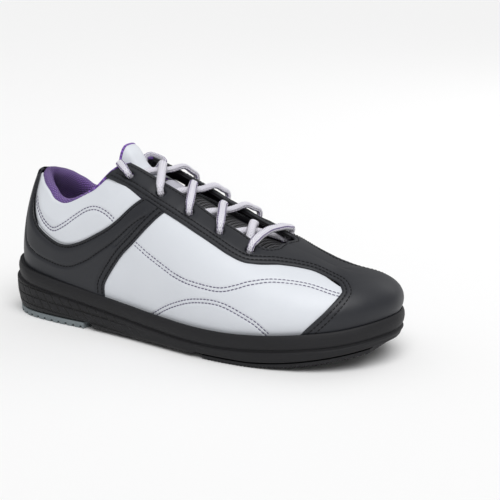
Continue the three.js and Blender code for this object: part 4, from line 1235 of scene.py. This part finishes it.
def bedHeight(u, name, rise):
    foot = floorTop(u) + 2.2 + 2 * padStack["gap"]
    edgeTop = rimTop(u) - 7.2 + 2 * padStack["gap"]
    if name == "foot":
        return foot + rise + (0.6 if rise < 4 else 0)
    if name == "mid":
        return 0.5 * (foot + 5 + edgeTop + 0.9)
    return edgeTop + rise


u = np.linspace(0, 2, 240, endpoint=False)
control = np.stack([np.stack([np.full(u.shape, offset), bedHeight(u, name, rise)], -1) for offset, name,
    rise in bedControl])
rows = denseSection(control, 5, 2)
ring = outlinePoint(np.broadcast_to(u, rows.shape[:2]), rows[..., 0], rows[..., 1])
points, faces = ringMesh(ring)
makeObject("footbedCover", points, faces, "upper", ["footbed_cover"], finishes["purple"],
    points, 50)


# Sole pad: a plate that follows the outline, with rounded edges, cross grooves underneath and a fine
# ribbed wall
def padGrid(look, height):
    rows, columns = look["rows"], look["columns"]
    u = np.linspace(look["start"], look["end"], rows)[:, None]
    w = crowded(columns, 0.75)[None]
    reach = np.full(u.shape, look["offset"])
    a, b = outlinePoint(u, reach, u * 0)[:, 0], outlinePoint(mirror(u), reach, u * 0)[:, 0]
    p = a[:, None] * (1 - w[..., None]) + b[:, None] * w[..., None]
    rim = np.concatenate([a, b[::-1]])
    rim = np.concatenate([rim, rim[:1]])
    flat = p[..., :2].reshape(-1, 2)
    steps = np.linspace(0, 1, 4, endpoint=False)[:, None, None]
    dense = (rim[None, :-1, :2] * (1 - steps) + rim[None, 1:, :2] * steps).reshape(-1, 2)
    away = np.concatenate([np.sqrt(((flat[k:k + blockSize, None] - dense[None]) ** 2).sum(2).min(1))
        for k in range(0, len(flat), blockSize)]).reshape(p.shape[:2])
    ground = groundRise(u)
    x = p[..., 0]
    wave = 0.5 + 0.5 * np.cos(2 * math.pi * (x + look["chevron"] * np.abs(p[..., 1])) / look["pitch"])
    groove = look["groove"] * smoothStep(wave, look["low"], look["high"])
    edgeX = np.clip(away / look["round"], 0, 1)
    drop = look["round"] * (1 - np.sqrt(1 - (1 - edgeX) ** 2))
    bottom = ground + np.maximum(groove, drop * 0.7)
    top = ground + height - drop * 0.3
    outer, inner = p.copy(), p.copy()
    outer[..., 2], inner[..., 2] = top, np.minimum(bottom, top - 0.3)
    weave = np.stack([x, p[..., 1], 0 * x], -1)
    return {"base": p, "outer": outer, "inner": inner, "weave": weave, "flip": False}


heelPadLook = {"start": 0.0, "end": padStack["heelEnd"], "offset": -2.0, "rows": 320, "columns": 70,
    "round": 0.6, "pitch": 6.5, "groove": 1.9, "low": 0.72, "high": 0.84, "chevron": 0.0}
ballPadLook = {"start": padStack["ballStart"], "end": padStack["ballEnd"], "offset": -3.0, "rows": 420,
    "columns": 80, "round": 0.4, "pitch": 2.6, "groove": 0.8, "low": 0.35, "high": 0.7, "chevron": 0.0}
for name, look, height, body, nodeName, slotName, finish in (
        ("heelPad", heelPadLook, padStack["heel"], "heel_traction_pad", "heel_pad", "heel_pad_grey", "pad"),
        ("solePad", ballPadLook, padStack["ball"], "ball_traction_pad", "sole_pad", "sole_rubber", "sole")):
    points, faces, weave = sheetMesh([padGrid(look, height)])
    makeObject(name, points, faces, body, [nodeName], finishes[finish], weave, 40)
print("pads made")

# Inner pieces of the frame keep their own shape and take a finish
innerFinish = {
    "heel_pad_loop": "backing", "heel_hook_panel": "backing", "sole_pad_loop": "backing",
    "sole_hook_panel": "backing",
    "insole_board": "board", "footbed_foam": "foam", "lateral_eyestay_backing": "backing",
    "medial_eyestay_backing": "backing",
    "toe_puff": "board", "vamp_lining": "mesh", "heel_counter": "board", "collar_foam": "foam",
}
for nodeName, finish in innerFinish.items():
    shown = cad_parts[nodeName]
    shown.data.materials.clear()
    shown.data.materials.append(finishes[finish])

# Stage
stageLook = {
    "floor": 24.0, "floorColour": (0.92, 0.92, 0.92), "world": 0.4,
    "sun": {"power": 2.25, "spread": 50.0, "from": (0.45, -0.5, 1.0)},
    "back": {"place": (0.5, 1.1, 0.9), "size": 0.9, "power": 3.0},
}
bpy.ops.mesh.primitive_plane_add(size=stageLook["floor"], location=(0, 0, -0.0001))
floor = bpy.context.object
floor.name = "floor"
floorMaterial, tree, shader = newMaterial("paleFloor")
shader.inputs["Base Color"].default_value = (*stageLook["floorColour"], 1)
shader.inputs["Roughness"].default_value = 0.9
shader.inputs["Specular IOR Level"].default_value = 0.1
floor.data.materials.append(floorMaterial)

bpy.context.scene.view_settings.view_transform = "Standard"
world = bpy.data.worlds.new("studio")
bpy.context.scene.world = world
world.use_nodes = True
world.node_tree.nodes["Background"].inputs["Color"].default_value = (1, 1, 1, 1)
world.node_tree.nodes["Background"].inputs["Strength"].default_value = stageLook["world"]


def aimedLight(name, data, place):
    light = bpy.data.objects.new(name, data)
    bpy.context.scene.collection.objects.link(light)
    light.location = place
    light.rotation_euler = light.location.to_track_quat("Z", "Y").to_euler()
    return light


sunData = bpy.data.lights.new("softSun", "SUN")
sunData.energy = stageLook["sun"]["power"]
sunData.angle = math.radians(stageLook["sun"]["spread"])
aimedLight("softSun", sunData, stageLook["sun"]["from"])
backData = bpy.data.lights.new("backLamp", "AREA")
backData.energy = stageLook["back"]["power"]
backData.size = stageLook["back"]["size"]
aimedLight("backLamp", backData, stageLook["back"]["place"])

cameraLook = {
    "azimuth": 32.82, "elevation": 14.71, "distance": 0.90789, "lens": 99.29,
    "target": (-0.0005, 0.000676, 0.045), "aside": 0.03898, "above": 0.01078,
}
a, e = math.radians(cameraLook["azimuth"]), math.radians(cameraLook["elevation"])
back = Vector((math.sin(a) * math.cos(e), -math.cos(a) * math.cos(e), math.sin(e)))
right = Vector((math.cos(a), math.sin(a), 0))
target = Vector(cameraLook["target"])
cameraData = bpy.data.cameras.new("camera")
cameraData.lens = cameraLook["lens"]
cameraData.sensor_width = 36
camera = bpy.data.objects.new("camera", cameraData)
bpy.context.scene.collection.objects.link(camera)
camera.location = target + back * cameraLook["distance"]
# The look direction leaves the object a little left of and below the centre
look = -back + right * cameraLook["aside"] + right.cross(-back) * cameraLook["above"]
camera.rotation_euler = look.to_track_quat("-Z", "Y").to_euler()
bpy.context.scene.camera = camera
